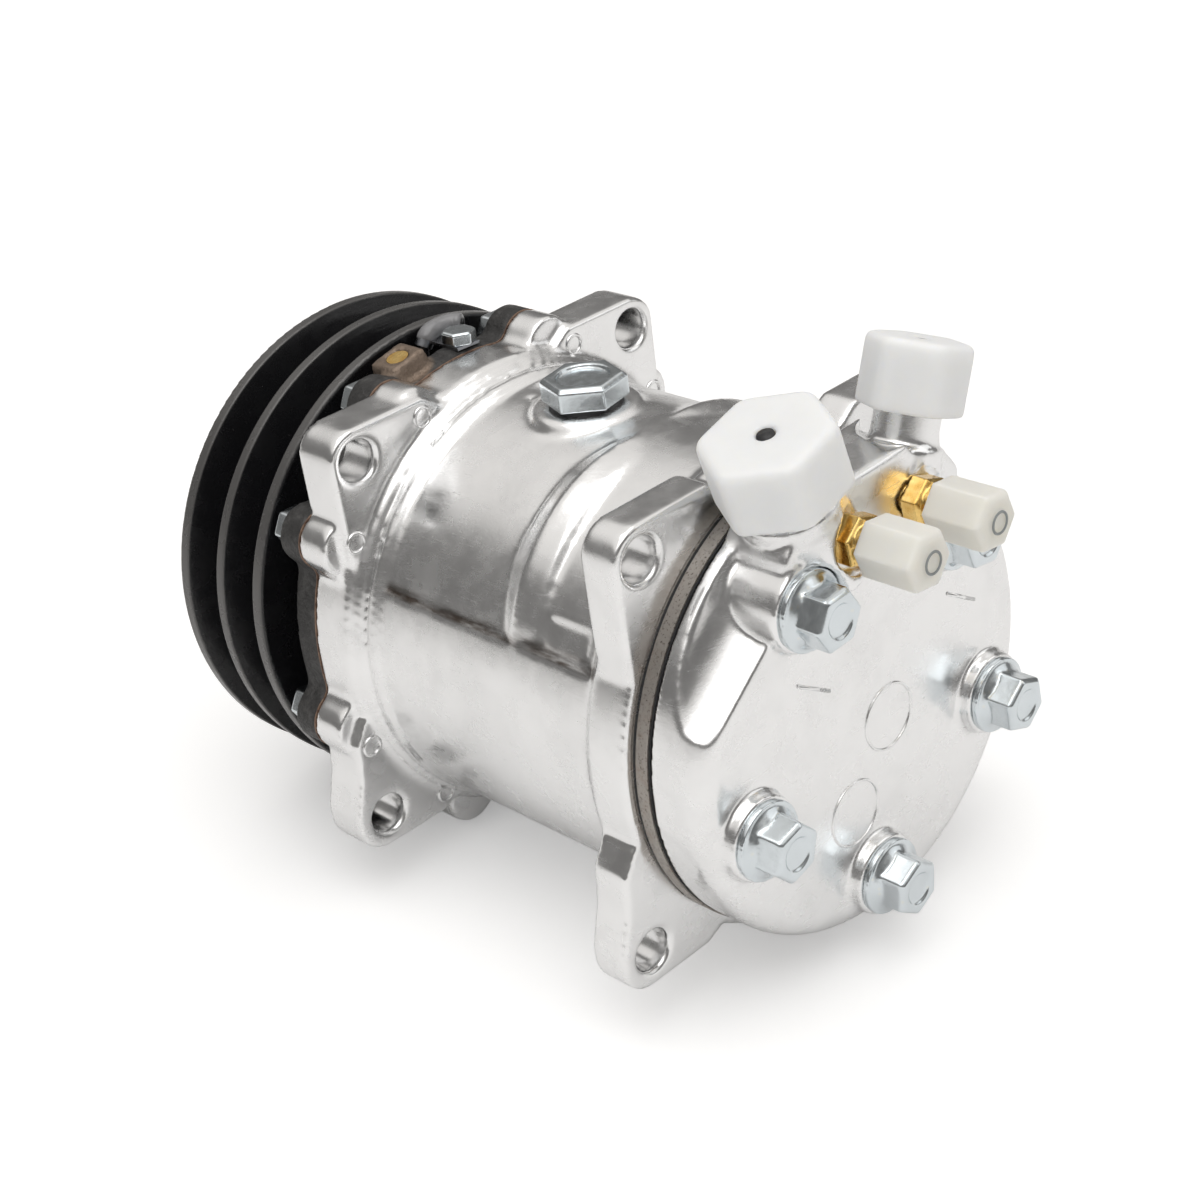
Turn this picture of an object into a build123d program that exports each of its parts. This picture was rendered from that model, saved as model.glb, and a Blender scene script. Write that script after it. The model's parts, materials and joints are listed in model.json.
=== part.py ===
from build123d import *
import os
from math import atan2, cos, degrees, hypot, radians, sin, tan

# Five-cylinder wobble-plate air-conditioning compressor with a two-groove magnetic clutch.
# Frame: the shaft runs along Y, with the pulley at -Y and the cylinder head at +Y. +Z is up.
# The origin is on the shaft axis, in the plane of the rear faces of the two front ear pairs.
# Names ending in _y are stations along the shaft. Angles in the XZ plane run from +X towards +Z.

os.makedirs("parts", exist_ok=True)

# ---------------------------------------------------------------- driving dimensions (mm, degrees)
cylinder_count = 5
bore_radius = 17.5
stroke = 28.6
cam_tilt = 23.0
first_bore_angle = 94.0
rod_rise = 45.0
running_fit = 0.05
bolt_gap = 0.3

block_front_y = -13.0
block_rear_y = 95.8
body_radius = 57.0
front_flange_radius = 62.0
rear_flange_radius = 61.3
front_ear_thickness = 13.0
rear_ear_thickness = 11.0
ear_hole_radius = 5.25
ear_chamfer = 0.7
ear_corner_radius = 8.0
ear_reach = 76.0
mould_step = 0.8
mould_step_z = 22.5
upper_hole_x = 47.7
upper_hole_z = 54.0
lower_hole_x = 59.1
lower_hole_z = -42.9
beads_outline = [(60.2, 0), (60.2, 2.2), (57.6, 2.6), (57.6, 3.6), (59.0, 4.0), (59.0, 6.2), (body_radius, 8)]
flange_edge_chamfer = 0.4
rear_flange_start_y = 80.0
rear_flange_full_y = 84.5
mould_step_front_y = 7.0
mould_step_rear_y = 82.0
lobe_rear_y = -3.0
swelling_x = 9.6
swelling_z = 12.3
swelling_peak_y = 54.0
swelling_radius = 44.8
swelling_rear_radius = 43.4
swelling_front_length = 6.0
swelling_rear_length = 7.0
pin_mark_radius = 2.4
pin_mark_depth = 0.4
panel_angle = 29.0
panel_y = 70.0
panel_length = 15.0
panel_width = 7.0
panel_depth = 0.8
crankcase_radius = 51.0
bore_deck_y = 52.0
bore_relief_y = 42.0
gear_bore_radius = 9.0
gear_bore_depth = 38.0
guide_key_width = 4.0
guide_key_depth = 4.2
guide_key_length = 14.0

front_gasket_thickness = 0.3
housing_flange_thickness = 8.2
housing_bolt_circle = 62.0
housing_lobe_radius = 8.0
housing_bolt_angles = (-16, 31, 65, 110, 149, 196, 242, 298)
housing_bolt_across_flats = 10.0
housing_bolt_radius = 3.0
housing_bolt_head_height = 5.6
housing_bolt_length = 17.0
housing_bolt_hole_end_y = -3.5
housing_spot_face_radius = 6.6
housing_race_depth = 3.2
coil_plate_y = -33.5
dome_root_radius = 54.0
dome_top_radius = 43.0
port_boss_angle = 77.0
port_boss_y = -21.5
port_boss_radius = 67.0
port_boss_length = 13.0
port_boss_width = 14.0
port_plug_radius = 2.9
port_plug_length = 6.5
rotor_recess_radius = 50.0
clamp_angle = 92.5
clamp_y = -17.6
clamp_seat_radius = 62.6
clamp_pad_length = 7.6
clamp_pad_width = 15.0
clamp_screw_radius = 2.1
clamp_screw_length = 7.0
clamp_screw_head_height = 3.4
clamp_screw_across_flats = 8.0
clamp_thickness = 0.8
clamp_strip_length = 11.0
clamp_strip_width = 7.5
clamp_ring_radius = 2.4
clamp_ring_bore = 1.5
clamp_ring_length = 3.0
lead_radius = 1.1

block_gasket_thickness = 0.4
suction_reed_thickness = 0.4
valve_plate_thickness = 3.4
head_gasket_thickness = 0.5
valve_plate_radius = 58.4
gasket_inset = 0.3
reed_tongue_width = 9.0
reed_slot_width = 12.0
discharge_reed_width = 8.5
discharge_reed_thickness = 0.3
retainer_width = 7.5
retainer_thickness = 1.6
retainer_rear_gap = 2.2
star_hub_radius = 9.0

head_radius = 58.0
head_depth = 15.6
head_edge_fillet = 6.0
head_bolt_circle = 44.7
head_bolt_start = 58.0
head_bolt_across_flats = 13.0
head_bolt_top_y = 129.2
head_bolt_radius = 4.0
head_bolt_hole_depth = 34.0
head_bolt_reach = 30.0
head_bolt_flange_radius = 9.6
head_bolt_flange_thickness = 1.6
head_bolt_cone_radius = 7.0
head_bolt_dimple_radius = 4.2
head_bolt_dimple_depth = 0.7
bolt_clearance_radius = 4.4
boss_rear_y = 119.5
discharge_hole_circle = 25.0
discharge_hole_radius = 2.6
suction_hole_circle = 46.0
suction_hole_radius = 2.8
discharge_chamber_radius = 31.0
chamber_wall_radius = 36.5
suction_chamber_radius = 52.0
chamber_depth = 8.0
bolt_land_radius = 8.0
discharge_land_length = 16.5
discharge_land_width = 15.0
scoop_angle = 52.3
scoop_axis_radius = 60.0
scoop_radius = 14.3
scoop_y = 118.0
scoop_start = -12.0
scoop_length = 43.5
scoop_wall_length = 40.0
scoop_wall_thickness = 10.0
bolt_boss_radius = 10.4
bolt_spot_face_radius = 9.9
cutter_reach = 10.0
crown_height_over_face = 2.6
crown_points = [(-27, 40), (18, 40), (30, 48), (20, 60.5), (-22, 61.5), (-34, 47)]
pad_mark_points = [(9, -24.8), (-5.1, -5.4)]
pad_mark_radius = 8.6
pad_mark_line = 0.6
pad_mark_depth = 0.35
port_bars = [(20, 15, 32), (-34, 13, 32)]
port_arrows = [(21.5, 19, -58), (-33.5, 17, 122)]
port_bar_length = 12.0
port_bar_width = 0.9
port_arrow_side = 4.0
cast_mark_height = 0.4

suction_port_tilt = 16.0
suction_port_y = 110.4
suction_cap_top = 80.0
suction_cap_across_flats = 28.4
suction_stub_radius = 10.2
suction_hole_bore = 5.0
suction_hole_floor = 42.0
discharge_port_tilt = -21.0
discharge_port_y = 111.2
discharge_cap_top = 85.0
discharge_cap_across_flats = 22.6
discharge_stub_radius = 7.8
discharge_hole_bore = 4.0
discharge_hole_floor = 26.0
port_root = 40.0
port_root_extra = 3.2
port_root_length = 17.0
port_collar = 55.0
port_collar_extra = 1.5
port_collar_length = 6.2
port_stub_end = 75.0
discharge_stub_end = 80.0
port_face_margin = 3.0
cap_height = 16.5
cap_wall_gap = 0.15
port_cap_gap = 0.6
cap_top_wall = 4.6
cap_hole_radius = 2.2
cap_corner_radius = 4.5
cap_edge_radius = 1.8
service_valve_points = ((8.0, 48.5), (-15.5, 47.6))
valve_across_flats = 11.2
valve_cap_across_flats = 12.8
valve_hex_length = 4.6
valve_cap_front_y = 126.2
valve_cap_rear_y = 141.5
valve_stem_radius = 4.2
valve_stem_rear_y = 136.5
valve_thread_length = 6.0
valve_collar_length = 1.6
valve_collar_step = 0.7
valve_mouth_radius = 2.2
valve_mouth_depth = 8.0
valve_pin_radius = 0.8
valve_spot_face_radius = 7.8
valve_cap_wall = 3.0
valve_cap_ring_radius = 2.9
valve_cap_ring_line = 0.8
valve_cap_ring_height = 0.5

plug_y = 31.4
plug_across_flats = 19.0
plug_top_z = 65.3
plug_seat_z = 58.2
plug_thread_radius = 7.0
plug_thread_length = 12.0
plug_boss_root_z = 50.0
plug_boss_root_radius = 18.5
plug_boss_taper = 33.0
plug_recess_radius = 6.6
plug_recess_depth = 1.0
plug_seal_thickness = 1.0
plug_seal_radius = 9.3
dimple_place = (3.4, 15.2, 58.2)
dimple_radius = 2.0

pulley_radius = 66.0
pulley_front_y = -67.0
pulley_rear_y = -30.6
groove_pitch = 15.9
groove_top_width = 13.0
groove_depth = 12.0
groove_half_angle = 17.0
bearing_bore_radius = 17.5
bearing_outer_radius = 27.5
bearing_front_y = -59.0
bearing_width = 20.0
bearing_lip_radius = 24.5
race_half_gap = 1.8
rim_radius = 1.0
crest_radius = 0.6
flux_slot_width = 2.5
armature_gap = 0.5
armature_thickness = 4.1
shaft_seal_radius = 8.0
shaft_bearing_radius = 9.0
needle_shell_radius = 12.5
needle_shell_wall = 1.4
needle_radius = 0.97
needle_front_y = -30.0
seal_radius = 13.0
seal_rear_y = -36.0
seal_front_y = -48.0
seal_ring_groove_radius = 14.0
seal_ring_thickness = 1.2
nose_front_y = -62.5
nose_shoulder_radius = 19.0
ring_thickness = 1.4
ring_groove_depth = 1.5
ring_gap = 6.0
coil_plate_thickness = 2.0
coil_inner_radius = 34.0
coil_outer_radius = 49.0
coil_front_y = -53.0
coil_shell_wall = 2.2
potting_depth = 1.2
bearing_ring_inner = 16.4
coil_ring_inner = 17.9
coil_cavity_inner = 32.4
coil_cavity_outer = 50.5
coil_cavity_front_y = -55.0
ball_radius = 3.5
ball_circle = 22.5
ball_count = 12
needle_count = 22
pulley_hub_rear_y = -36.3
flux_slot_radius = 42.0
hub_seat_y = -61.5
hub_bore_radius = 7.0
hub_front_y = -75.6
hub_flange_thickness = 2.3
hub_rivet_circle = 24.0
hub_rivet_angle = 66.0
thread_radius = 4.0
nut_across_flats = 13.0
nut_height = 3.4
shaft_front_y = -79.5
shaft_rear_y = 3.5
key_bottom_z = 5.2
key_y = -68.5
key_length = 10.0
key_width = 3.0
key_height = 3.4
armature_radius = 56.5
armature_rivet_circle = 54.5
armature_rivet_angle = 28.0
armature_lobe_radius = 6.6
armature_inner_radius = 31.0
armature_rivet_head_radius = 4.6
armature_rivet_head_height = 2.4
hub_sleeve_radius = 11.0
hub_flange_radius = 21.0
hub_lobe_radius = 6.0
rivet_count = 3
rivet_radius = 2.5
rivet_head_radius = 4.0
rivet_head_height = 1.6
leaf_width = 9.0
leaf_hole_radius = 2.8
leaf_thickness = 0.8
leaf_gap = 0.3

# Rotor, thrust bearings, wobble plate and bevel gears (heights run along the tilted plate axis)
rotor_radius = 44.0
thrust_roller_length = 14.0
thrust_roller_circle = 31.0
thrust_roller_count = 20
thrust_cage_thickness = 2.2
housing_roller_radius = 1.95
plate_roller_radius = 2.05
plate_radius = 45.0
plate_top = 3.0
plate_bottom = -12.0
plate_relief_length = 11.0
plate_relief_width = 9.0
plate_relief_depth = 7.0
gear_recess_floor = -10.0
seat_outer_radius = 7.0
rod_ball_radius = 6.0
rod_shank_radius = 3.5
centre_ball_radius = 8.0
gear_tooth_count = 16
gear_inner_radius = 10.5
gear_outer_radius = 17.5
gear_tooth_width = 1.6
tooth_blank_height = 7.0
gear_addendum = 0.9
gear_dedendum = 1.3
gear_seat_radius = 19.9
gear_body_height = 12.0
gear_guide_end = 46.0
guide_radius = 8.95
spring_radius = 6.0
spring_wire_radius = 0.9
piston_radius = 17.45
skirt_length = 12.0
skirt_wall = 2.5
crown_wall = 5.0
wrist_boss_drop = 3.4
top_land = 2.0
ring_groove_width = 1.6
ring_clearance = 0.1
ring_split = 0.4
wrist_boss_radius = 9.5

# ---------------------------------------------------------------- derived stations and mechanism
housing_rear_y = block_front_y - front_gasket_thickness
housing_flange_y = housing_rear_y - housing_flange_thickness
reed_front_y = block_rear_y + block_gasket_thickness
plate_front_y = reed_front_y + suction_reed_thickness
plate_rear_y = plate_front_y + valve_plate_thickness
head_front_y = plate_rear_y + head_gasket_thickness
head_rear_y = head_front_y + head_depth
bearing_rear_y = bearing_front_y + bearing_width
housing_race_y = housing_rear_y - housing_race_depth
rotor_front_y = housing_race_y + 2 * housing_roller_radius + running_fit
rotor_face_height = plate_bottom - 2 * plate_roller_radius - running_fit
bearing_ring_y = bearing_front_y - running_fit
coil_ring_y = coil_plate_y - coil_plate_thickness - running_fit
armature_rear_y = pulley_front_y - armature_gap
armature_front_y = armature_rear_y - armature_thickness
leaf_rear_y = armature_front_y - leaf_gap
hub_flange_y = leaf_rear_y - leaf_thickness
rivet_head_y = hub_flange_y - armature_gap - 0.1
pulley_ring_y = bearing_rear_y + ring_thickness + running_fit
seal_groove_front_y = seal_front_y - seal_ring_thickness - 2 * running_fit

tilt = radians(cam_tilt)
socket_circle = stroke / (2 * sin(tilt))
bore_circle = socket_circle * (1 + cos(tilt)) / 2
rod_offset = socket_circle * (1 - cos(tilt)) / 2
rod_length = hypot(rod_rise, rod_offset)
crown_height = 10.0
crown_clearance = 0.5
nutation_y = block_rear_y - crown_clearance - crown_height - rod_rise - stroke / 2
bore_angles = [first_bore_angle + 360 / cylinder_count * i for i in range(cylinder_count)]

housing_bolt_points = [(housing_bolt_circle * cos(radians(a)), housing_bolt_circle * sin(radians(a)))
                       for a in housing_bolt_angles]
ear_hole_points = [(side * x, z) for side in (1, -1)
                   for x, z in ((upper_hole_x, upper_hole_z), (lower_hole_x, lower_hole_z))]
pin_mark_points = [(side * x, z) for side in (1, -1)
                   for x, z in ((26.4, 57.4), (53.0, 34.1), (60.2, -21.3), (40.1, -46.6))]

nutation_centre = Vector(0, nutation_y, 0)
plate_normal = Vector(0, cos(tilt), -sin(tilt))
plate_uphill = Vector(0, sin(tilt), cos(tilt))


def station(y):
    """Cross-section plane at a shaft station: local x is X, local y is Z, extrude runs to -Y."""
    return Plane.XZ.offset(-y)


def plate_station(height):
    """The same kind of plane, square to the tilted plate axis, at a height above its centre."""
    return Plane(origin=nutation_centre, x_dir=(1, 0, 0), z_dir=plate_normal * -1).offset(-height)


def radial_plane(radius, angle, y):
    """Plane square to a radius: local x is +Y, local y is tangential, extrude runs outwards."""
    outward = Vector(cos(radians(angle)), 0, sin(radians(angle)))
    return Plane(origin=outward * radius + Vector(0, y, 0), x_dir=(0, 1, 0), z_dir=outward)


def port_plane(radius, tilt_angle, y):
    """Plane across a hose port that leans from +Z towards +X by the tilt angle."""
    return radial_plane(radius, 90 - tilt_angle, y)


plate_profile = Plane(origin=nutation_centre, x_dir=(1, 0, 0), z_dir=plate_uphill)
plate_axis = Axis(nutation_centre, plate_normal)


def save(part, name):
    """Label a finished piece and write it to its own file."""
    part.label = name
    export_step(part, f"parts/{name}.step")


# ---------------------------------------------------------------- shared outlines
def lobed_outline():
    """Flange outline with a rounded lobe round each front housing bolt."""
    with BuildSketch() as outline:
        Circle(front_flange_radius)
        with Locations(*housing_bolt_points):
            Circle(housing_lobe_radius)
        fillet(outline.vertices(), 4)
    return outline.sketch


def ear_outline(points):
    """Mounting ear outline, mirrored to both sides, with its free corners rounded."""
    with BuildSketch() as outline:
        with BuildLine():
            Polyline(*points, close=True)
        make_face()
        free_corners = [v for v in outline.vertices() if hypot(v.X, v.Y) > ear_reach]
        fillet(free_corners, ear_corner_radius)
        mirror(about=Plane.YZ)
    return outline.sketch


def head_lands():
    """Sealing lands between the head and the valve plate."""
    with BuildSketch() as lands:
        Circle(head_radius)
        Circle(suction_chamber_radius, mode=Mode.SUBTRACT)
        with PolarLocations(head_bolt_circle, cylinder_count, start_angle=head_bolt_start):
            Circle(bolt_land_radius)
        with PolarLocations(head_bolt_circle, 1, start_angle=90 - discharge_port_tilt):
            Rectangle(discharge_land_length, discharge_land_width)
        Circle(chamber_wall_radius)
        Circle(discharge_chamber_radius, mode=Mode.SUBTRACT)
        with PolarLocations(head_bolt_circle, cylinder_count, start_angle=head_bolt_start):
            Circle(bolt_clearance_radius, mode=Mode.SUBTRACT)
    return lands.sketch


upper_ear = [(14, 48), (19, 58.2), (25, 62.4), (56.2, 62.4), (55.4, 27), (44, 24)]
lower_ear = [(50, -12), (61, -13.4), (65.0, -20), (65.4, -29), (68.6, -40), (68.4, -52),
             (41, -52), (34, -48.8), (30, -40)]

# ---------------------------------------------------------------- cylinder block
with BuildPart() as cylinder_block:
    with BuildSketch(Plane.XY):
        with BuildLine():
            Polyline((0, block_front_y), (front_flange_radius, block_front_y),
                     (front_flange_radius, -flange_edge_chamfer), *beads_outline,
                     (body_radius, rear_flange_start_y), (rear_flange_radius, rear_flange_full_y),
                     (rear_flange_radius, block_rear_y), (0, block_rear_y), close=True)
        make_face()
    revolve(axis=Axis.Y)
    # The lower casting half stands slightly proud of the upper one.
    with BuildSketch(station(mould_step_rear_y)):
        Circle(body_radius + mould_step)
        with Locations((0, mould_step_z + body_radius)):
            Rectangle(3 * body_radius, 2 * body_radius, mode=Mode.SUBTRACT)
    extrude(amount=mould_step_rear_y - mould_step_front_y)
    with BuildSketch(station(lobe_rear_y)):
        add(lobed_outline())
    extrude(amount=lobe_rear_y - block_front_y)
    for ear_y, thickness in ((0, front_ear_thickness), (block_rear_y, rear_ear_thickness)):
        with BuildSketch(station(ear_y)):
            add(ear_outline(upper_ear))
            add(ear_outline(lower_ear))
        extrude(amount=thickness)
    # Swelling over the upper bores on both sides, ahead of the rear ears.
    for side in (1, -1):
        with BuildSketch(station(swelling_peak_y + swelling_rear_length)):
            with Locations((side * swelling_x, swelling_z)):
                Circle(swelling_rear_radius)
        extrude(amount=swelling_rear_length, taper=-12)
        with BuildSketch(station(swelling_peak_y)):
            with Locations((side * swelling_x, swelling_z)):
                Circle(swelling_radius)
        extrude(amount=swelling_front_length, taper=22)
    # Conical boss of the oil plug.
    with BuildSketch(Plane.XY.offset(plug_boss_root_z)):
        with Locations((0, plug_y)):
            Circle(plug_boss_root_radius)
    extrude(amount=plug_seat_z - plug_boss_root_z, taper=plug_boss_taper)
    # Crankcase, cylinder bores and the guide bore of the fixed gear.
    with BuildSketch(station(bore_deck_y)):
        Circle(crankcase_radius)
    extrude(amount=bore_deck_y - block_front_y, mode=Mode.SUBTRACT)
    with BuildSketch(station(block_rear_y)):
        with PolarLocations(bore_circle, cylinder_count, start_angle=first_bore_angle):
            Circle(bore_radius)
    extrude(amount=block_rear_y - bore_relief_y, mode=Mode.SUBTRACT)
    with BuildSketch(station(bore_deck_y + gear_bore_depth)):
        Circle(gear_bore_radius)
        with Locations((0, gear_bore_radius)):
            Rectangle(guide_key_width + 2 * running_fit, guide_key_depth)
    extrude(amount=gear_bore_depth, mode=Mode.SUBTRACT)
    # Threaded holes for the head bolts and the front housing bolts.
    with BuildSketch(station(block_rear_y)):
        with PolarLocations(head_bolt_circle, cylinder_count, start_angle=head_bolt_start):
            Circle(head_bolt_radius)
    extrude(amount=head_bolt_hole_depth, mode=Mode.SUBTRACT)
    with BuildSketch(station(housing_bolt_hole_end_y)):
        with Locations(*housing_bolt_points):
            Circle(housing_bolt_radius)
    extrude(amount=housing_bolt_hole_end_y - block_front_y + 1, mode=Mode.SUBTRACT)
    # Through holes of the ears, chamfered on both faces.
    with BuildSketch(station(block_rear_y)):
        with Locations(*ear_hole_points):
            Circle(ear_hole_radius)
    extrude(amount=block_rear_y - block_front_y, mode=Mode.SUBTRACT)
    for face_y, direction in ((0, 1), (block_rear_y, 1), (block_front_y, -1),
                              (block_rear_y - rear_ear_thickness, -1)):
        with BuildSketch(station(face_y)):
            with Locations(*ear_hole_points):
                Circle(ear_hole_radius + ear_chamfer)
        extrude(amount=direction * ear_chamfer, taper=45, mode=Mode.SUBTRACT)
    # Oil filler hole, and a locating dimple beside it.
    with BuildSketch(Plane.XY.offset(plug_seat_z)):
        with Locations((0, plug_y)):
            Circle(plug_thread_radius)
    extrude(amount=-plug_thread_length - 2, mode=Mode.SUBTRACT)
    with Locations(dimple_place):
        Sphere(dimple_radius, mode=Mode.SUBTRACT)
    # Ejector-pin marks on the front ears and a shallow panel in both sides.
    with BuildSketch(station(0)):
        with Locations(*pin_mark_points):
            Circle(pin_mark_radius)
    extrude(amount=pin_mark_depth, mode=Mode.SUBTRACT)
    for angle in (panel_angle, 180 - panel_angle):
        with BuildSketch(radial_plane(body_radius + mould_step, angle, panel_y)):
            Rectangle(panel_length, panel_width)
        extrude(amount=-mould_step - panel_depth, mode=Mode.SUBTRACT)
save(cylinder_block.part, "cylinder_block")

# ---------------------------------------------------------------- front housing and its fasteners
with BuildPart() as front_housing:
    with BuildSketch(station(housing_rear_y)):
        add(lobed_outline())
    extrude(amount=housing_flange_thickness)
    with BuildSketch(Plane.XY):
        with BuildLine():
            Polyline((0, housing_flange_y + 1), (dome_root_radius, housing_flange_y + 1),
                     (dome_root_radius, housing_flange_y - 1.5), (dome_top_radius, housing_flange_y - 8.5),
                     (dome_top_radius, coil_plate_y), (nose_shoulder_radius, coil_plate_y),
                     (nose_shoulder_radius, bearing_rear_y), (bearing_bore_radius, bearing_rear_y),
                     (bearing_bore_radius, nose_front_y), (0, nose_front_y), close=True)
        make_face()
    revolve(axis=Axis.Y)
    # Square boss that carries a threaded plug, and the pad under the lead clamp screw.
    with BuildSketch(radial_plane(rotor_recess_radius, port_boss_angle, port_boss_y)):
        Rectangle(port_boss_length, port_boss_width)
    extrude(amount=port_boss_radius - rotor_recess_radius, taper=5)
    with BuildSketch(radial_plane(rotor_recess_radius, clamp_angle, clamp_y)):
        Rectangle(clamp_pad_length, clamp_pad_width)
    extrude(amount=clamp_seat_radius - rotor_recess_radius, taper=6)
    # Rotor recess, shaft bore, needle bearing seat and seal chamber.
    with BuildSketch(Plane.XY):
        with BuildLine():
            Polyline((0, housing_rear_y), (rotor_recess_radius, housing_rear_y),
                     (rotor_recess_radius, housing_race_y),
                     (needle_shell_radius, housing_race_y), (needle_shell_radius, needle_front_y),
                     (shaft_bearing_radius + 1, needle_front_y), (shaft_bearing_radius + 1, seal_rear_y),
                     (seal_radius, seal_rear_y), (seal_radius, seal_front_y),
                     (seal_ring_groove_radius, seal_front_y),
                     (seal_ring_groove_radius, seal_groove_front_y), (seal_radius, seal_groove_front_y),
                     (seal_radius, nose_front_y), (0, nose_front_y), close=True)
        make_face()
    revolve(axis=Axis.Y, mode=Mode.SUBTRACT)
    # Grooves for the two retaining rings on the nose.
    for groove_y, groove_radius in ((coil_ring_y, coil_ring_inner), (bearing_ring_y, bearing_ring_inner)):
        with BuildSketch(station(groove_y)):
            Circle(nose_shoulder_radius + 1)
            Circle(groove_radius, mode=Mode.SUBTRACT)
        extrude(amount=ring_thickness, mode=Mode.SUBTRACT)
    with BuildSketch(station(housing_rear_y)):
        with Locations(*housing_bolt_points):
            Circle(housing_bolt_radius + bolt_gap)
    extrude(amount=housing_flange_thickness + housing_bolt_head_height, mode=Mode.SUBTRACT)
    with BuildSketch(station(housing_flange_y)):
        with Locations(*housing_bolt_points):
            Circle(housing_spot_face_radius)
    extrude(amount=housing_bolt_head_height + 1.4, mode=Mode.SUBTRACT)
    with BuildSketch(radial_plane(port_boss_radius, port_boss_angle, port_boss_y)):
        Circle(port_plug_radius)
    extrude(amount=-port_plug_length - 0.5, mode=Mode.SUBTRACT)
    with BuildSketch(radial_plane(clamp_seat_radius, clamp_angle, clamp_y)):
        Circle(clamp_screw_radius + 0.1)
    extrude(amount=-clamp_screw_length - 1, mode=Mode.SUBTRACT)
save(front_housing.part, "front_housing")

with BuildPart() as front_gasket:
    with BuildSketch(station(block_front_y)):
        add(lobed_outline())
        Circle(crankcase_radius, mode=Mode.SUBTRACT)
        with Locations(*housing_bolt_points):
            Circle(housing_bolt_radius + bolt_gap, mode=Mode.SUBTRACT)
    extrude(amount=front_gasket_thickness)
save(front_gasket.part, "front_gasket")

with BuildPart() as front_housing_bolts:
    with BuildSketch(station(housing_flange_y)):
        with Locations(*housing_bolt_points):
            RegularPolygon(housing_bolt_across_flats / 2, 6, major_radius=False)
    extrude(amount=housing_bolt_head_height)
    chamfer(front_housing_bolts.faces().group_by(Axis.Y)[0].edges(), 0.6)
    with BuildSketch(station(housing_flange_y)):
        with Locations(*housing_bolt_points):
            Circle(housing_bolt_radius)
    extrude(amount=-housing_bolt_length)
save(front_housing_bolts.part, "front_housing_bolts")

with BuildPart() as housing_port_plug:
    with BuildSketch(radial_plane(port_boss_radius - 0.5, port_boss_angle, port_boss_y)):
        Circle(port_plug_radius)
    extrude(amount=-port_plug_length)
save(housing_port_plug.part, "housing_port_plug")

# ---------------------------------------------------------------- rear stack: gaskets, reeds, plate
with BuildPart() as block_gasket:
    with BuildSketch(station(reed_front_y)):
        Circle(valve_plate_radius - gasket_inset)
        with PolarLocations(bore_circle, cylinder_count, start_angle=first_bore_angle):
            Circle(bore_radius + gasket_inset, mode=Mode.SUBTRACT)
        with PolarLocations(head_bolt_circle, cylinder_count, start_angle=head_bolt_start):
            Circle(bolt_clearance_radius, mode=Mode.SUBTRACT)
    extrude(amount=block_gasket_thickness)
save(block_gasket.part, "block_gasket")

with BuildPart() as suction_reeds:
    with BuildSketch(station(plate_front_y)):
        Circle(valve_plate_radius - gasket_inset)
        with PolarLocations(head_bolt_circle, cylinder_count, start_angle=head_bolt_start):
            Circle(bolt_clearance_radius, mode=Mode.SUBTRACT)
        with PolarLocations(discharge_hole_circle, cylinder_count, start_angle=first_bore_angle):
            Circle(discharge_hole_radius + 1.2, mode=Mode.SUBTRACT)
        # One tongue per cylinder, cut free all round except at its inner root.
        with PolarLocations(suction_hole_circle - 7, cylinder_count, start_angle=first_bore_angle):
            SlotOverall(23, reed_slot_width, mode=Mode.SUBTRACT)
        with PolarLocations(suction_hole_circle - 8.5, cylinder_count, start_angle=first_bore_angle):
            SlotOverall(24, reed_tongue_width)
    extrude(amount=suction_reed_thickness)
save(suction_reeds.part, "suction_reeds")

with BuildPart() as valve_plate:
    with BuildSketch(station(plate_rear_y)):
        Circle(valve_plate_radius)
        with PolarLocations(head_bolt_circle, cylinder_count, start_angle=head_bolt_start):
            Circle(bolt_clearance_radius, mode=Mode.SUBTRACT)
        with PolarLocations(suction_hole_circle, cylinder_count, start_angle=first_bore_angle):
            Circle(suction_hole_radius, mode=Mode.SUBTRACT)
        with PolarLocations(discharge_hole_circle, cylinder_count, start_angle=first_bore_angle):
            Circle(discharge_hole_radius, mode=Mode.SUBTRACT)
    extrude(amount=valve_plate_thickness)
save(valve_plate.part, "valve_plate")

with BuildPart() as discharge_reeds:
    # Star of reeds lying on the plate, and the stiffer retainer star that backs it.
    for rear_gap, thickness, width in ((discharge_reed_thickness, discharge_reed_thickness,
                                        discharge_reed_width),
                                       (retainer_rear_gap, retainer_thickness, retainer_width)):
        with BuildSketch(station(plate_rear_y + rear_gap)):
            Circle(star_hub_radius)
            with PolarLocations(discharge_hole_circle / 2, cylinder_count, start_angle=first_bore_angle):
                SlotOverall(discharge_hole_circle + width, width)
        extrude(amount=thickness)
save(discharge_reeds.part, "discharge_reeds")

with BuildPart() as head_gasket:
    with BuildSketch(station(head_front_y)):
        add(head_lands())
    extrude(amount=head_gasket_thickness)
save(head_gasket.part, "head_gasket")

# ---------------------------------------------------------------- cylinder head
scoop_out = Vector(cos(radians(scoop_angle)), 0, sin(radians(scoop_angle)))
scoop_along = Vector(sin(radians(scoop_angle)), 0, -cos(radians(scoop_angle)))
scoop_origin = scoop_out * scoop_axis_radius + scoop_along * scoop_start + Vector(0, scoop_y, 0)
ports = ((suction_port_tilt, suction_port_y, suction_stub_radius, port_stub_end,
          suction_hole_bore, suction_hole_floor),
         (discharge_port_tilt, discharge_port_y, discharge_stub_radius, discharge_stub_end,
          discharge_hole_bore, discharge_hole_floor))

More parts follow.
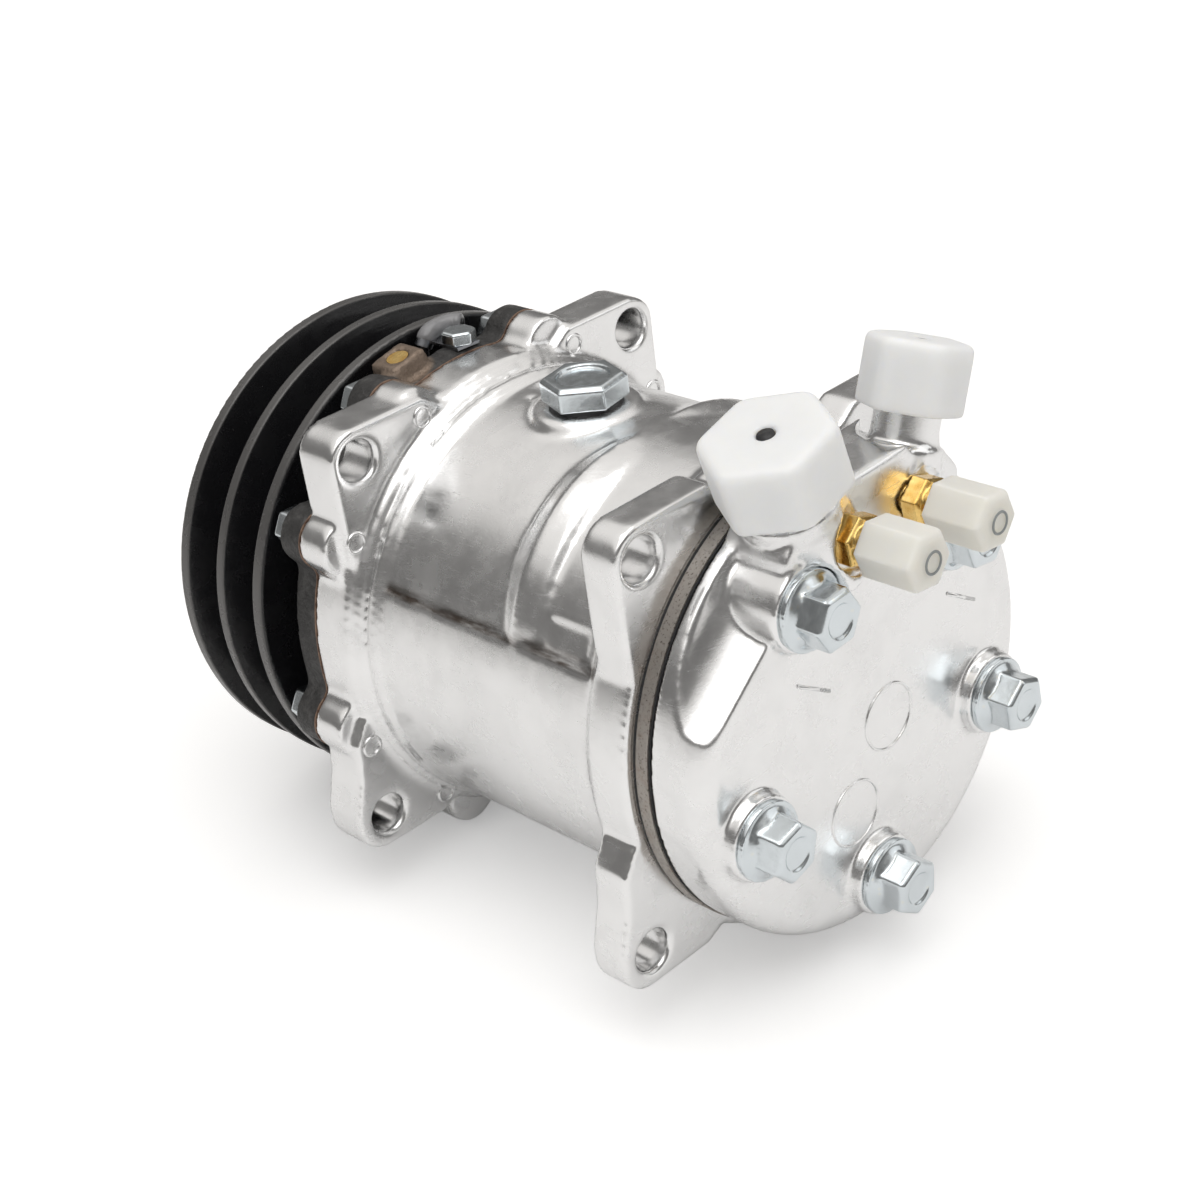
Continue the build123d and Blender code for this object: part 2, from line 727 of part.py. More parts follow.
with BuildPart() as cylinder_head:
    with BuildSketch(station(head_rear_y)):
        Circle(head_radius)
    extrude(amount=head_depth)
    fillet(cylinder_head.faces().sort_by(Axis.Y)[-1].edges(), head_edge_fillet)
    # Concave scoop in the side wall.
    with BuildSketch(Plane(origin=scoop_origin, x_dir=(0, 1, 0), z_dir=scoop_along)):
        Circle(scoop_radius)
    extrude(amount=scoop_length, mode=Mode.SUBTRACT)
    # Raised crown that joins both ports and both service valves.
    with BuildSketch(station(head_rear_y + crown_height_over_face)) as crown_outline:
        with BuildLine():
            Polyline(*crown_points, close=True)
        make_face()
        fillet(crown_outline.vertices(), 4)
    extrude(amount=head_depth + crown_height_over_face)
    # Bolt bosses.
    with BuildSketch(station(boss_rear_y)):
        with PolarLocations(head_bolt_circle, cylinder_count, start_angle=head_bolt_start):
            Circle(bolt_boss_radius)
    extrude(amount=boss_rear_y - head_front_y)
    # Port necks: flared root, collar and threaded stub.
    for lean, port_y, stub_radius, stub_end, hole_radius, hole_floor in ports:
        with BuildSketch(port_plane(port_root, lean, port_y)):
            Circle(stub_radius + port_root_extra)
        extrude(amount=port_root_length, taper=4)
        with BuildSketch(port_plane(port_collar, lean, port_y)):
            Circle(stub_radius + port_collar_extra)
        extrude(amount=port_collar_length)
        with BuildSketch(port_plane(port_collar + port_collar_length, lean, port_y)):
            Circle(stub_radius + port_face_margin)
        extrude(amount=stub_end - port_collar, mode=Mode.SUBTRACT)
        with BuildSketch(port_plane(port_collar, lean, port_y)):
            Circle(stub_radius)
        extrude(amount=stub_end - port_collar)
    # Everything ahead of the gasket face is cleared from the port necks.
    with BuildSketch(station(head_front_y)):
        Circle(head_radius + 1)
    extrude(amount=2 * cutter_reach, mode=Mode.SUBTRACT)
    # Spot faces and threads of the service valves.
    with BuildSketch(station(boss_rear_y + cutter_reach)):
        with Locations(*service_valve_points):
            Circle(valve_spot_face_radius)
    extrude(amount=cutter_reach, mode=Mode.SUBTRACT)
    with BuildSketch(station(boss_rear_y)):
        with Locations(*service_valve_points):
            Circle(valve_stem_radius)
    extrude(amount=valve_thread_length + 1, mode=Mode.SUBTRACT)
    # Gas chambers, closed off from each other by the sealing lands.
    with BuildSketch(station(head_front_y + chamber_depth)):
        Circle(suction_chamber_radius)
        add(head_lands(), mode=Mode.SUBTRACT)
        with PolarLocations(head_bolt_circle, cylinder_count, start_angle=head_bolt_start):
            Circle(bolt_clearance_radius, mode=Mode.SUBTRACT)
        with PolarLocations(suction_chamber_radius + 1, 1, start_angle=scoop_angle):
            Rectangle(scoop_wall_thickness, scoop_wall_length, mode=Mode.SUBTRACT)
    extrude(amount=chamber_depth, mode=Mode.SUBTRACT)
    for lean, port_y, stub_radius, stub_end, hole_radius, hole_floor in ports:
        with BuildSketch(port_plane(hole_floor, lean, port_y)):
            Circle(hole_radius)
        extrude(amount=stub_end - hole_floor + 1, mode=Mode.SUBTRACT)
    # Bolt holes, then the shallow cast marks on the rear face.
    with BuildSketch(station(boss_rear_y)):
        with PolarLocations(head_bolt_circle, cylinder_count, start_angle=head_bolt_start):
            Circle(bolt_clearance_radius)
    extrude(amount=boss_rear_y - head_front_y, mode=Mode.SUBTRACT)
    with BuildSketch(station(boss_rear_y + cutter_reach)):
        with PolarLocations(head_bolt_circle, cylinder_count, start_angle=head_bolt_start):
            Circle(bolt_spot_face_radius)
    extrude(amount=cutter_reach, mode=Mode.SUBTRACT)
    with BuildSketch(station(head_rear_y)):
        with Locations(*pad_mark_points):
            Circle(pad_mark_radius)
        with Locations(*pad_mark_points):
            Circle(pad_mark_radius - pad_mark_line, mode=Mode.SUBTRACT)
    extrude(amount=pad_mark_depth, mode=Mode.SUBTRACT)
    with BuildSketch(station(head_rear_y + cast_mark_height)):
        with Locations(*[Location((x, z, 0), turn) for x, z, turn in port_bars]):
            Rectangle(port_bar_length, port_bar_width)
        with Locations(*[Location((x, z, 0), turn) for x, z, turn in port_arrows]):
            Triangle(a=port_arrow_side, b=port_arrow_side, c=port_arrow_side)
    extrude(amount=2 * cast_mark_height)
save(cylinder_head.part, "cylinder_head")

with BuildPart() as head_bolts:
    with BuildSketch(station(head_bolt_top_y)):
        with PolarLocations(head_bolt_circle, cylinder_count, start_angle=head_bolt_start):
            RegularPolygon(head_bolt_across_flats / 2, 6, major_radius=False)
    extrude(amount=head_bolt_top_y - boss_rear_y - 1)
    chamfer(head_bolts.faces().group_by(Axis.Y)[-1].edges(), 0.9)
    with BuildSketch(station(boss_rear_y + 2 * head_bolt_flange_thickness)):
        with PolarLocations(head_bolt_circle, cylinder_count, start_angle=head_bolt_start):
            Circle(head_bolt_cone_radius)
    extrude(amount=head_bolt_flange_thickness, taper=-48)
    with BuildSketch(station(boss_rear_y + head_bolt_flange_thickness)):
        with PolarLocations(head_bolt_circle, cylinder_count, start_angle=head_bolt_start):
            Circle(head_bolt_flange_radius)
    extrude(amount=head_bolt_flange_thickness)
    with BuildSketch(station(boss_rear_y + 1)):
        with PolarLocations(head_bolt_circle, cylinder_count, start_angle=head_bolt_start):
            Circle(head_bolt_radius)
    extrude(amount=boss_rear_y + 1 - block_rear_y + head_bolt_reach)
    with BuildSketch(station(head_bolt_top_y)):
        with PolarLocations(head_bolt_circle, cylinder_count, start_angle=head_bolt_start):
            Circle(head_bolt_dimple_radius)
    extrude(amount=head_bolt_dimple_depth, taper=30, mode=Mode.SUBTRACT)
save(head_bolts.part, "head_bolts")

# ---------------------------------------------------------------- oil plug, service valves, caps
with BuildPart() as oil_plug:
    with BuildSketch(Plane.XY.offset(plug_seat_z + plug_seal_thickness)):
        with Locations((0, plug_y)):
            RegularPolygon(plug_across_flats / 2, 6, major_radius=False, rotation=12)
    extrude(amount=plug_top_z - plug_seat_z - plug_seal_thickness)
    chamfer(oil_plug.faces().sort_by(Axis.Z)[-1].edges(), 1.0)
    with BuildSketch(Plane.XY.offset(plug_seat_z + plug_seal_thickness)):
        with Locations((0, plug_y)):
            Circle(plug_thread_radius)
    extrude(amount=-plug_thread_length)
    with BuildSketch(Plane.XY.offset(plug_top_z)):
        with Locations((0, plug_y)):
            Circle(plug_recess_radius)
    extrude(amount=-plug_recess_depth, mode=Mode.SUBTRACT)
save(oil_plug.part, "oil_plug")

with BuildPart() as oil_plug_seal:
    with BuildSketch(Plane.XY.offset(plug_seat_z)):
        with Locations((0, plug_y)):
            Circle(plug_seal_radius)
            Circle(plug_thread_radius, mode=Mode.SUBTRACT)
    extrude(amount=plug_seal_thickness)
save(oil_plug_seal.part, "oil_plug_seal")

with BuildPart() as service_valves:
    with BuildSketch(station(boss_rear_y + valve_hex_length)):
        with Locations(*service_valve_points):
            RegularPolygon(valve_across_flats / 2, 6, major_radius=False, rotation=20)
    extrude(amount=valve_hex_length)
    chamfer(service_valves.faces().group_by(Axis.Y)[-1].edges(), 0.6)
    with BuildSketch(station(valve_stem_rear_y)):
        with Locations(*service_valve_points):
            Circle(valve_stem_radius)
    extrude(amount=valve_stem_rear_y - boss_rear_y + valve_thread_length)
    with BuildSketch(station(boss_rear_y + valve_hex_length + valve_collar_length)):
        with Locations(*service_valve_points):
            Circle(valve_stem_radius + valve_collar_step)
    extrude(amount=valve_collar_length)
    with BuildSketch(station(valve_stem_rear_y)):
        with Locations(*service_valve_points):
            Circle(valve_mouth_radius)
    extrude(amount=valve_mouth_depth, mode=Mode.SUBTRACT)
    with BuildSketch(station(valve_stem_rear_y - 1)):
        with Locations(*service_valve_points):
            Circle(valve_pin_radius)
    extrude(amount=valve_mouth_depth)
save(service_valves.part, "service_valves")

for name, point in zip(("suction_valve_cap", "discharge_valve_cap"), service_valve_points):
    with BuildPart() as valve_cap:
        with BuildSketch(station(valve_cap_rear_y)):
            with Locations(point):
                RegularPolygon(valve_cap_across_flats / 2, 6, major_radius=False, rotation=8)
        extrude(amount=valve_cap_rear_y - valve_cap_front_y)
        fillet(valve_cap.faces().sort_by(Axis.Y)[-1].edges(), 1.6)
        with BuildSketch(station(valve_cap_rear_y + valve_cap_ring_height)):
            with Locations(point):
                Circle(valve_cap_ring_radius)
                Circle(valve_cap_ring_radius - valve_cap_ring_line, mode=Mode.SUBTRACT)
        extrude(amount=2 * valve_cap_ring_height)
        with BuildSketch(station(valve_cap_rear_y - valve_cap_wall)):
            with Locations(point):
                Circle(valve_stem_radius + cap_wall_gap)
        extrude(amount=valve_cap_rear_y - valve_cap_front_y, mode=Mode.SUBTRACT)
    save(valve_cap.part, name)


def build_port_cap(name, lean, port_y, top_radius, across_flats, stub_radius):
    """Hexagonal moulded cap over a hose port, with a small vent hole in its top."""
    with BuildPart() as cap:
        with BuildSketch(port_plane(top_radius - cap_height, lean, port_y)):
            RegularPolygon(across_flats / 2, 6, major_radius=False, rotation=30)
        extrude(amount=cap_height)
        fillet(cap.edges().filter_by(lambda e: abs(e.length - cap_height) < 0.1), cap_corner_radius)
        cap_axis = Axis(origin=(0, 0, 0), direction=port_plane(0, lean, 0).z_dir)
        fillet(cap.faces().sort_by(cap_axis)[-1].edges(), cap_edge_radius)
        with BuildSketch(port_plane(top_radius - cap_top_wall, lean, port_y)):
            Circle(stub_radius + port_cap_gap)
        extrude(amount=-cap_height, mode=Mode.SUBTRACT)
        with BuildSketch(port_plane(top_radius, lean, port_y)):
            Circle(cap_hole_radius)
        extrude(amount=-cap_top_wall - 1, mode=Mode.SUBTRACT)
    save(cap.part, name)


build_port_cap("suction_port_cap", suction_port_tilt, suction_port_y, suction_cap_top,
               suction_cap_across_flats, suction_stub_radius)
build_port_cap("discharge_port_cap", discharge_port_tilt, discharge_port_y, discharge_cap_top,
               discharge_cap_across_flats, discharge_stub_radius)

# ---------------------------------------------------------------- clutch coil and its lead
with BuildPart() as clutch_coil:
    with BuildSketch(station(coil_plate_y)):
        Circle(coil_outer_radius - 1)
        Circle(nose_shoulder_radius + running_fit, mode=Mode.SUBTRACT)
    extrude(amount=coil_plate_thickness)
    with BuildSketch(station(coil_plate_y - coil_plate_thickness)):
        Circle(coil_outer_radius)
        Circle(coil_inner_radius, mode=Mode.SUBTRACT)
    extrude(amount=coil_plate_y - coil_plate_thickness - coil_front_y)
    # The potting of the winding sits slightly below the rims of the steel shell.
    with BuildSketch(station(coil_front_y + potting_depth)):
        Circle(coil_outer_radius - coil_shell_wall)
        Circle(coil_inner_radius + coil_shell_wall, mode=Mode.SUBTRACT)
    extrude(amount=potting_depth, mode=Mode.SUBTRACT)
save(clutch_coil.part, "clutch_coil")

# Cable centre line from the coil to its clamp, as angle, radius and station.
lead_points = ((86.2, 47.2, -33.4), (86.7, 49.2, -29.4), (87.4, 55.5, -27.4), (88.4, 61.5, -27.2),
               (90.5, 64.4, -27.2), (94, 65.3, -27.0), (97.0, 65.7, -25.8), (98.2, 65.8, -23.6))
with BuildLine() as lead_path:
    Spline(*[(radius * cos(radians(angle)), y, radius * sin(radians(angle)))
             for angle, radius, y in lead_points])
with BuildPart() as coil_lead:
    with BuildSketch(Plane(origin=lead_path.line @ 0, z_dir=lead_path.line % 0)):
        Circle(lead_radius)
    sweep(path=lead_path.line)
save(coil_lead.part, "coil_lead")

# The clamp is a strip under its screw that ends in a ring round the cable.
clamp_share = 0.6
with BuildPart() as lead_clamp:
    with BuildSketch(radial_plane(clamp_seat_radius, clamp_angle, clamp_y - 2)):
        Rectangle(clamp_strip_length, clamp_strip_width)
        with Locations((2, 0)):
            Circle(clamp_screw_radius + 0.1, mode=Mode.SUBTRACT)
    extrude(amount=clamp_thickness)
    with BuildSketch(Plane(origin=lead_path.line @ clamp_share, x_dir=(0, 1, 0),
                           z_dir=lead_path.line % clamp_share).offset(-clamp_ring_length / 2)):
        Circle(clamp_ring_radius)
        Circle(clamp_ring_bore, mode=Mode.SUBTRACT)
    extrude(amount=clamp_ring_length)
save(lead_clamp.part, "lead_clamp")

with BuildPart() as lead_clamp_screw:
    with BuildSketch(radial_plane(clamp_seat_radius + clamp_thickness, clamp_angle, clamp_y)):
        RegularPolygon(clamp_screw_across_flats / 2, 6, major_radius=False)
    extrude(amount=clamp_screw_head_height)
    chamfer(lead_clamp_screw.faces().sort_by(Axis.Z)[-1].edges(), 0.5)
    with BuildSketch(radial_plane(clamp_seat_radius + clamp_thickness, clamp_angle, clamp_y)):
        Circle(clamp_screw_radius)
    extrude(amount=-clamp_screw_length)
save(lead_clamp_screw.part, "lead_clamp_screw")

# ---------------------------------------------------------------- pulley and its bearing
groove_centres = [(pulley_front_y + pulley_rear_y) / 2 + groove_pitch * side / 2 for side in (-1, 1)]
groove_floor_width = groove_top_width - 2 * groove_depth * tan(radians(groove_half_angle))
pulley_flux_arcs = [CenterArc((0, 0), flux_slot_radius, start, 44) for start in range(0, 360, 60)]
armature_flux_arcs = [CenterArc((0, 0), flux_slot_radius + 1, start, 40) for start in range(10, 370, 60)]
with BuildPart() as pulley:
    with BuildSketch(Plane.XY):
        with BuildLine():
            Polyline((bearing_lip_radius, pulley_front_y), (pulley_radius, pulley_front_y),
                     (pulley_radius, pulley_rear_y), (coil_cavity_outer, pulley_rear_y),
                     (coil_cavity_outer, coil_cavity_front_y), (coil_cavity_inner, coil_cavity_front_y),
                     (coil_cavity_inner, pulley_hub_rear_y), (bearing_outer_radius, pulley_hub_rear_y),
                     (bearing_outer_radius, bearing_front_y),
                     (bearing_lip_radius, bearing_front_y), close=True)
        make_face()
    revolve(axis=Axis.Y)
    rims = pulley.edges().filter_by(GeomType.CIRCLE).filter_by(lambda e: e.radius > pulley_radius - 0.1)
    fillet(rims, rim_radius)
    for groove_y in groove_centres:
        with BuildSketch(Plane.XY):
            with BuildLine():
                Polyline((pulley_radius + 0.1, groove_y - groove_top_width / 2),
                         (pulley_radius - groove_depth, groove_y - groove_floor_width / 2),
                         (pulley_radius - groove_depth, groove_y + groove_floor_width / 2),
                         (pulley_radius + 0.1, groove_y + groove_top_width / 2), close=True)
            make_face()
        revolve(axis=Axis.Y, mode=Mode.SUBTRACT)
    crests = pulley.edges().filter_by(GeomType.CIRCLE).filter_by(
        lambda e: abs(e.radius - pulley_radius) < 0.1
        and pulley_front_y + 2 < e.center().Y < pulley_rear_y - 2)
    fillet(crests, crest_radius)
    # Slots through the friction face that steer the magnetic flux.
    with BuildSketch(station(coil_cavity_front_y)):
        for arc in pulley_flux_arcs:
            SlotArc(arc=arc, height=flux_slot_width)
    extrude(amount=coil_cavity_front_y - pulley_front_y, mode=Mode.SUBTRACT)
    with BuildSketch(station(pulley_ring_y)):
        Circle(bearing_outer_radius + ring_groove_depth)
    extrude(amount=ring_thickness, mode=Mode.SUBTRACT)
save(pulley.part, "pulley")

with BuildPart() as pulley_snap_ring:
    with BuildSketch(station(pulley_ring_y - running_fit)):
        Circle(bearing_outer_radius + ring_groove_depth - 0.1)
        Circle(bearing_outer_radius - 2.2, mode=Mode.SUBTRACT)
        with Locations((0, -bearing_outer_radius)):
            Rectangle(ring_gap, 8, mode=Mode.SUBTRACT)
    extrude(amount=ring_thickness - 2 * running_fit)
save(pulley_snap_ring.part, "pulley_snap_ring")

ball_rows = [bearing_front_y + bearing_width * share for share in (0.27, 0.73)]
for name, inner, outer in (("bearing_inner_race", bearing_bore_radius, ball_circle - race_half_gap),
                           ("bearing_outer_race", ball_circle + race_half_gap, bearing_outer_radius)):
    with BuildPart() as race:
        with BuildSketch(station(bearing_rear_y)):
            Circle(outer)
            Circle(inner, mode=Mode.SUBTRACT)
        extrude(amount=bearing_width)
        for row_y in ball_rows:
            with BuildSketch(Plane.XY):
                with Locations((ball_circle, row_y)):
                    Circle(ball_radius + running_fit)
            revolve(axis=Axis.Y, mode=Mode.SUBTRACT)
    save(race.part, name)

with BuildPart() as bearing_balls:
    for row_y in ball_rows:
        with Locations(station(row_y)):
            with PolarLocations(ball_circle, ball_count):
                Sphere(ball_radius)
save(bearing_balls.part, "bearing_balls")

with BuildPart() as housing_snap_rings:
    # Rings on the nose for the coil and the bearing, and the ring that holds the shaft seal.
    for ring_y, inner, outer in ((coil_ring_y, coil_ring_inner, 22.5),
                                 (bearing_ring_y, bearing_ring_inner, 20.2)):
        with BuildSketch(station(ring_y - running_fit)):
            Circle(outer)
            Circle(inner + running_fit, mode=Mode.SUBTRACT)
            with Locations((0, outer)):
                Rectangle(ring_gap, 14, mode=Mode.SUBTRACT)
        extrude(amount=ring_thickness - 2 * running_fit)
    with BuildSketch(station(seal_front_y - running_fit)):
        Circle(seal_ring_groove_radius - running_fit)
        Circle(seal_radius - 2.4, mode=Mode.SUBTRACT)
        with Locations((0, seal_radius)):
            Rectangle(ring_gap, 8, mode=Mode.SUBTRACT)
    extrude(amount=seal_ring_thickness)
save(housing_snap_rings.part, "housing_snap_rings")

with BuildPart() as shaft_seal:
    with BuildSketch(Plane.XY):
        with BuildLine():
            Polyline((shaft_seal_radius + running_fit, seal_front_y + 4), (seal_radius, seal_front_y),
                     (seal_radius, seal_rear_y), (seal_radius - 2, seal_rear_y),
                     (seal_radius - 2, seal_rear_y - 5), (shaft_seal_radius + running_fit, seal_rear_y - 4),
                     close=True)
        make_face()
    revolve(axis=Axis.Y)
save(shaft_seal.part, "shaft_seal")

with BuildPart() as front_needle_bearing:
    with BuildSketch(station(housing_race_y - 1)):
        Circle(needle_shell_radius)
        Circle(needle_shell_radius - needle_shell_wall, mode=Mode.SUBTRACT)
    extrude(amount=housing_race_y - 1 - needle_front_y)
    with BuildSketch(station(housing_race_y - 2)):
        with PolarLocations(shaft_bearing_radius + needle_radius + 0.08, needle_count):
            Circle(needle_radius)
    extrude(amount=housing_race_y - 3 - needle_front_y)
save(front_needle_bearing.part, "front_needle_bearing")

# ---------------------------------------------------------------- shaft, rotor and clutch hub
with BuildPart() as drive_shaft:
    with BuildSketch(Plane.XY):
        with BuildLine():
            Polyline((0, shaft_rear_y), (shaft_bearing_radius, shaft_rear_y),
                     (shaft_bearing_radius, needle_front_y - 2), (shaft_seal_radius, needle_front_y - 3),
                     (shaft_seal_radius, hub_seat_y), (hub_bore_radius, hub_seat_y),
                     (hub_bore_radius, hub_front_y + 2), (thread_radius, hub_front_y + 2),
                     (thread_radius, shaft_front_y + 1), (thread_radius - 1, shaft_front_y),
                     (0, shaft_front_y), close=True)
        make_face()
    revolve(axis=Axis.Y)
    with BuildSketch(Plane.XY.offset(key_bottom_z)):
        with Locations((0, key_y)):
            Rectangle(key_width, key_length)
    extrude(amount=6, mode=Mode.SUBTRACT)
save(drive_shaft.part, "drive_shaft")

with BuildPart() as cam_rotor:
    with BuildSketch(station(rotor_radius)):
        Circle(rotor_radius)
    extrude(amount=rotor_radius - rotor_front_y)
    with BuildSketch(plate_station(rotor_face_height + 2 * rotor_radius)):
        Circle(2 * rotor_radius)
    extrude(amount=2 * rotor_radius, mode=Mode.SUBTRACT)
    with BuildSketch(station(shaft_rear_y)):
        Circle(shaft_bearing_radius)
    extrude(amount=2 * rotor_radius, mode=Mode.SUBTRACT)
save(cam_rotor.part, "cam_rotor")

with BuildPart() as hub_key:
    with BuildSketch(Plane.XY.offset(key_bottom_z)):
        with Locations((0, key_y)):
            Rectangle(key_width, key_length)
    extrude(amount=key_height)
save(hub_key.part, "hub_key")

with BuildPart() as clutch_hub:
    with BuildSketch(station(hub_seat_y)):
        Circle(hub_sleeve_radius)
    extrude(amount=hub_seat_y - hub_front_y)
    with BuildSketch(station(hub_flange_y)) as hub_plan:
        Circle(hub_flange_radius)
        with PolarLocations(hub_rivet_circle, rivet_count, start_angle=hub_rivet_angle):
            Circle(hub_lobe_radius)
        fillet(hub_plan.vertices(), 4)
    extrude(amount=hub_flange_thickness)
    # Rivets that clamp the inner ends of the leaf springs.
    with BuildSketch(station(leaf_rear_y)):
        with PolarLocations(hub_rivet_circle, rivet_count, start_angle=hub_rivet_angle):
            Circle(rivet_radius)
    extrude(amount=leaf_thickness + hub_flange_thickness)
    with BuildSketch(station(hub_flange_y - hub_flange_thickness)):
        with PolarLocations(hub_rivet_circle, rivet_count, start_angle=hub_rivet_angle):
            Circle(rivet_head_radius)
    extrude(amount=rivet_head_height, taper=25)
    with BuildSketch(station(hub_seat_y)):
        Circle(hub_bore_radius)
        with Locations((0, hub_bore_radius)):
            Rectangle(key_width, 2 * (key_bottom_z + key_height - hub_bore_radius))
    extrude(amount=hub_seat_y - hub_front_y, mode=Mode.SUBTRACT)
save(clutch_hub.part, "clutch_hub")

with BuildPart() as hub_nut:
    with BuildSketch(station(hub_front_y)):
        RegularPolygon(nut_across_flats / 2, 6, major_radius=False)
        Circle(thread_radius, mode=Mode.SUBTRACT)
    extrude(amount=nut_height)
save(hub_nut.part, "hub_nut")

with BuildPart() as armature_plate:
    with BuildSketch(station(armature_rear_y)) as armature_plan:
        Circle(armature_radius)
        with PolarLocations(armature_rivet_circle, rivet_count, start_angle=armature_rivet_angle):
            Circle(armature_lobe_radius)
        fillet(armature_plan.vertices(), 5)
        Circle(armature_inner_radius, mode=Mode.SUBTRACT)
        for arc in armature_flux_arcs:
            SlotArc(arc=arc, height=flux_slot_width, mode=Mode.SUBTRACT)
    extrude(amount=armature_thickness)
    # Headed rivets that hold the outer ends of the leaf springs, free to rise by the air gap.
    with BuildSketch(station(armature_front_y)):
        with PolarLocations(armature_rivet_circle, rivet_count, start_angle=armature_rivet_angle):
            Circle(rivet_radius)
    extrude(amount=armature_front_y - rivet_head_y)
    with BuildSketch(station(rivet_head_y)):
        with PolarLocations(armature_rivet_circle, rivet_count, start_angle=armature_rivet_angle):
            Circle(armature_rivet_head_radius)
    extrude(amount=armature_rivet_head_height, taper=20)
save(armature_plate.part, "armature_plate")


def leaf_outline(start, end):
    """Strap with round ends about its two rivets, each with its rivet hole."""
    middle = (start + end) / 2
    direction = degrees(atan2(end.Y - start.Y, end.X - start.X))
    with BuildSketch() as outline:
        with Locations(Location(middle, direction)):
            SlotCenterToCenter((end - start).length, leaf_width)
        with Locations(start, end):
            Circle(leaf_hole_radius, mode=Mode.SUBTRACT)
    return outline.sketch


leaf_step = 360 / rivet_count
leaf_ends = [(Vector(hub_rivet_circle, 0).rotate(Axis.Z, hub_rivet_angle + leaf_step * index),
              Vector(armature_rivet_circle, 0).rotate(Axis.Z, armature_rivet_angle + leaf_step * index))
             for index in range(rivet_count)]
with BuildPart() as leaf_springs:
    with BuildSketch(station(leaf_rear_y)):
        for start, end in leaf_ends:
            add(leaf_outline(start, end))
    extrude(amount=leaf_thickness)
save(leaf_springs.part, "leaf_springs")


# ---------------------------------------------------------------- thrust bearings
def build_thrust_bearing(name, cage_plane, roller_plane, roller_radius):
    """Flat cage with radial pockets, and one loose roller in each pocket."""
    with BuildPart() as bearing:
        with BuildSketch(cage_plane):
            Circle(thrust_roller_circle + thrust_roller_length / 2 + 2)
            Circle(thrust_roller_circle - thrust_roller_length / 2 - 2, mode=Mode.SUBTRACT)
            with PolarLocations(thrust_roller_circle, thrust_roller_count):
                Rectangle(thrust_roller_length + 0.6, 2 * roller_radius + 0.4, mode=Mode.SUBTRACT)
        extrude(amount=thrust_cage_thickness)
        for index in range(thrust_roller_count):
            with BuildSketch(roller_plane(360 / thrust_roller_count * index)):
                Circle(roller_radius)
            extrude(amount=thrust_roller_length)
    save(bearing.part, name)


def plate_radial_plane(radius, angle, height):
    """Plane square to a radius of the tilted plate; extrude runs outwards."""
    outward = Vector(cos(radians(angle)), 0, 0) + plate_uphill * sin(radians(angle))
    return Plane(origin=nutation_centre + outward * radius + plate_normal * height,
                 x_dir=plate_normal, z_dir=outward)


roller_start = thrust_roller_circle - thrust_roller_length / 2
front_roller_y = (housing_race_y + rotor_front_y) / 2
plate_roller_height = (plate_bottom + rotor_face_height) / 2
build_thrust_bearing("front_thrust_bearing", station(front_roller_y + thrust_cage_thickness / 2),
                     lambda angle: radial_plane(roller_start, angle, front_roller_y),
                     housing_roller_radius)
build_thrust_bearing("plate_thrust_bearing", plate_station(plate_roller_height + thrust_cage_thickness / 2),
                     lambda angle: plate_radial_plane(roller_start, angle, plate_roller_height),
                     plate_roller_radius)

# ---------------------------------------------------------------- wobble plate and its bevel gears
# Both gears have the same tooth count, so their pitch cones roll on each other with the apex at
# the centre ball, and the plate nutates without turning. pitch_slope is rise over radius.
pitch_slope = tan(tilt / 2)
inner_pitch = gear_inner_radius * pitch_slope
outer_pitch = gear_outer_radius * pitch_slope
tooth_middle = (gear_inner_radius + gear_outer_radius) / 2
tooth_length = gear_outer_radius - gear_inner_radius


def plate_point(angle):
    """Centre of a ball socket of the tilted plate."""
    return (nutation_centre + Vector(socket_circle * cos(radians(angle)), 0, 0)
            + plate_uphill * (socket_circle * sin(radians(angle))))


with BuildPart() as wobble_plate:
    with BuildSketch(plate_profile):
        with BuildLine():
            Polyline((0, plate_bottom), (plate_radius, plate_bottom), (plate_radius, plate_top - 3),
                     (plate_radius - 2, plate_top), (25, plate_top), (21.5, gear_recess_floor + 4),
                     (gear_seat_radius, gear_recess_floor + 4), (gear_seat_radius, gear_recess_floor),
                     (0, gear_recess_floor), close=True)
        make_face()
    revolve(axis=plate_axis)
    with Locations(*[plate_point(angle) for angle in bore_angles]):
        Sphere(seat_outer_radius + 0.1, mode=Mode.SUBTRACT)
    # Relief between the sockets.
    with BuildSketch(plate_station(plate_top)):
        with PolarLocations(socket_circle + 3, cylinder_count,
                            start_angle=first_bore_angle + 180 / cylinder_count):
            SlotOverall(plate_relief_length, plate_relief_width, rotation=90)
    extrude(amount=plate_relief_depth, mode=Mode.SUBTRACT)
save(wobble_plate.part, "wobble_plate")

with BuildPart() as planet_gear:
    with BuildSketch(plate_profile):
        with BuildLine():
            Polyline((0, gear_recess_floor), (gear_seat_radius, gear_recess_floor),
                     (gear_seat_radius, gear_recess_floor + 3.5),
                     (gear_outer_radius, -outer_pitch - gear_dedendum),
                     (gear_inner_radius, -inner_pitch - gear_dedendum),
                     (0, -inner_pitch - gear_dedendum), close=True)
        make_face()
    revolve(axis=plate_axis)
    with BuildSketch(plate_station(gear_recess_floor + 2)):
        with PolarLocations(tooth_middle, gear_tooth_count, start_angle=180 / gear_tooth_count):
            Rectangle(tooth_length, gear_tooth_width)
    extrude(amount=gear_recess_floor + 1)
    with BuildSketch(plate_profile):
        with BuildLine():
            Polyline((0, -inner_pitch + gear_addendum), (gear_inner_radius, -inner_pitch + gear_addendum),
                     (gear_outer_radius + 1, -outer_pitch - pitch_slope + gear_addendum),
                     (gear_outer_radius + 1, 5), (0, 5), close=True)
        make_face()
    revolve(axis=plate_axis, mode=Mode.SUBTRACT)
    with Locations(nutation_centre):
        Sphere(centre_ball_radius + running_fit, mode=Mode.SUBTRACT)
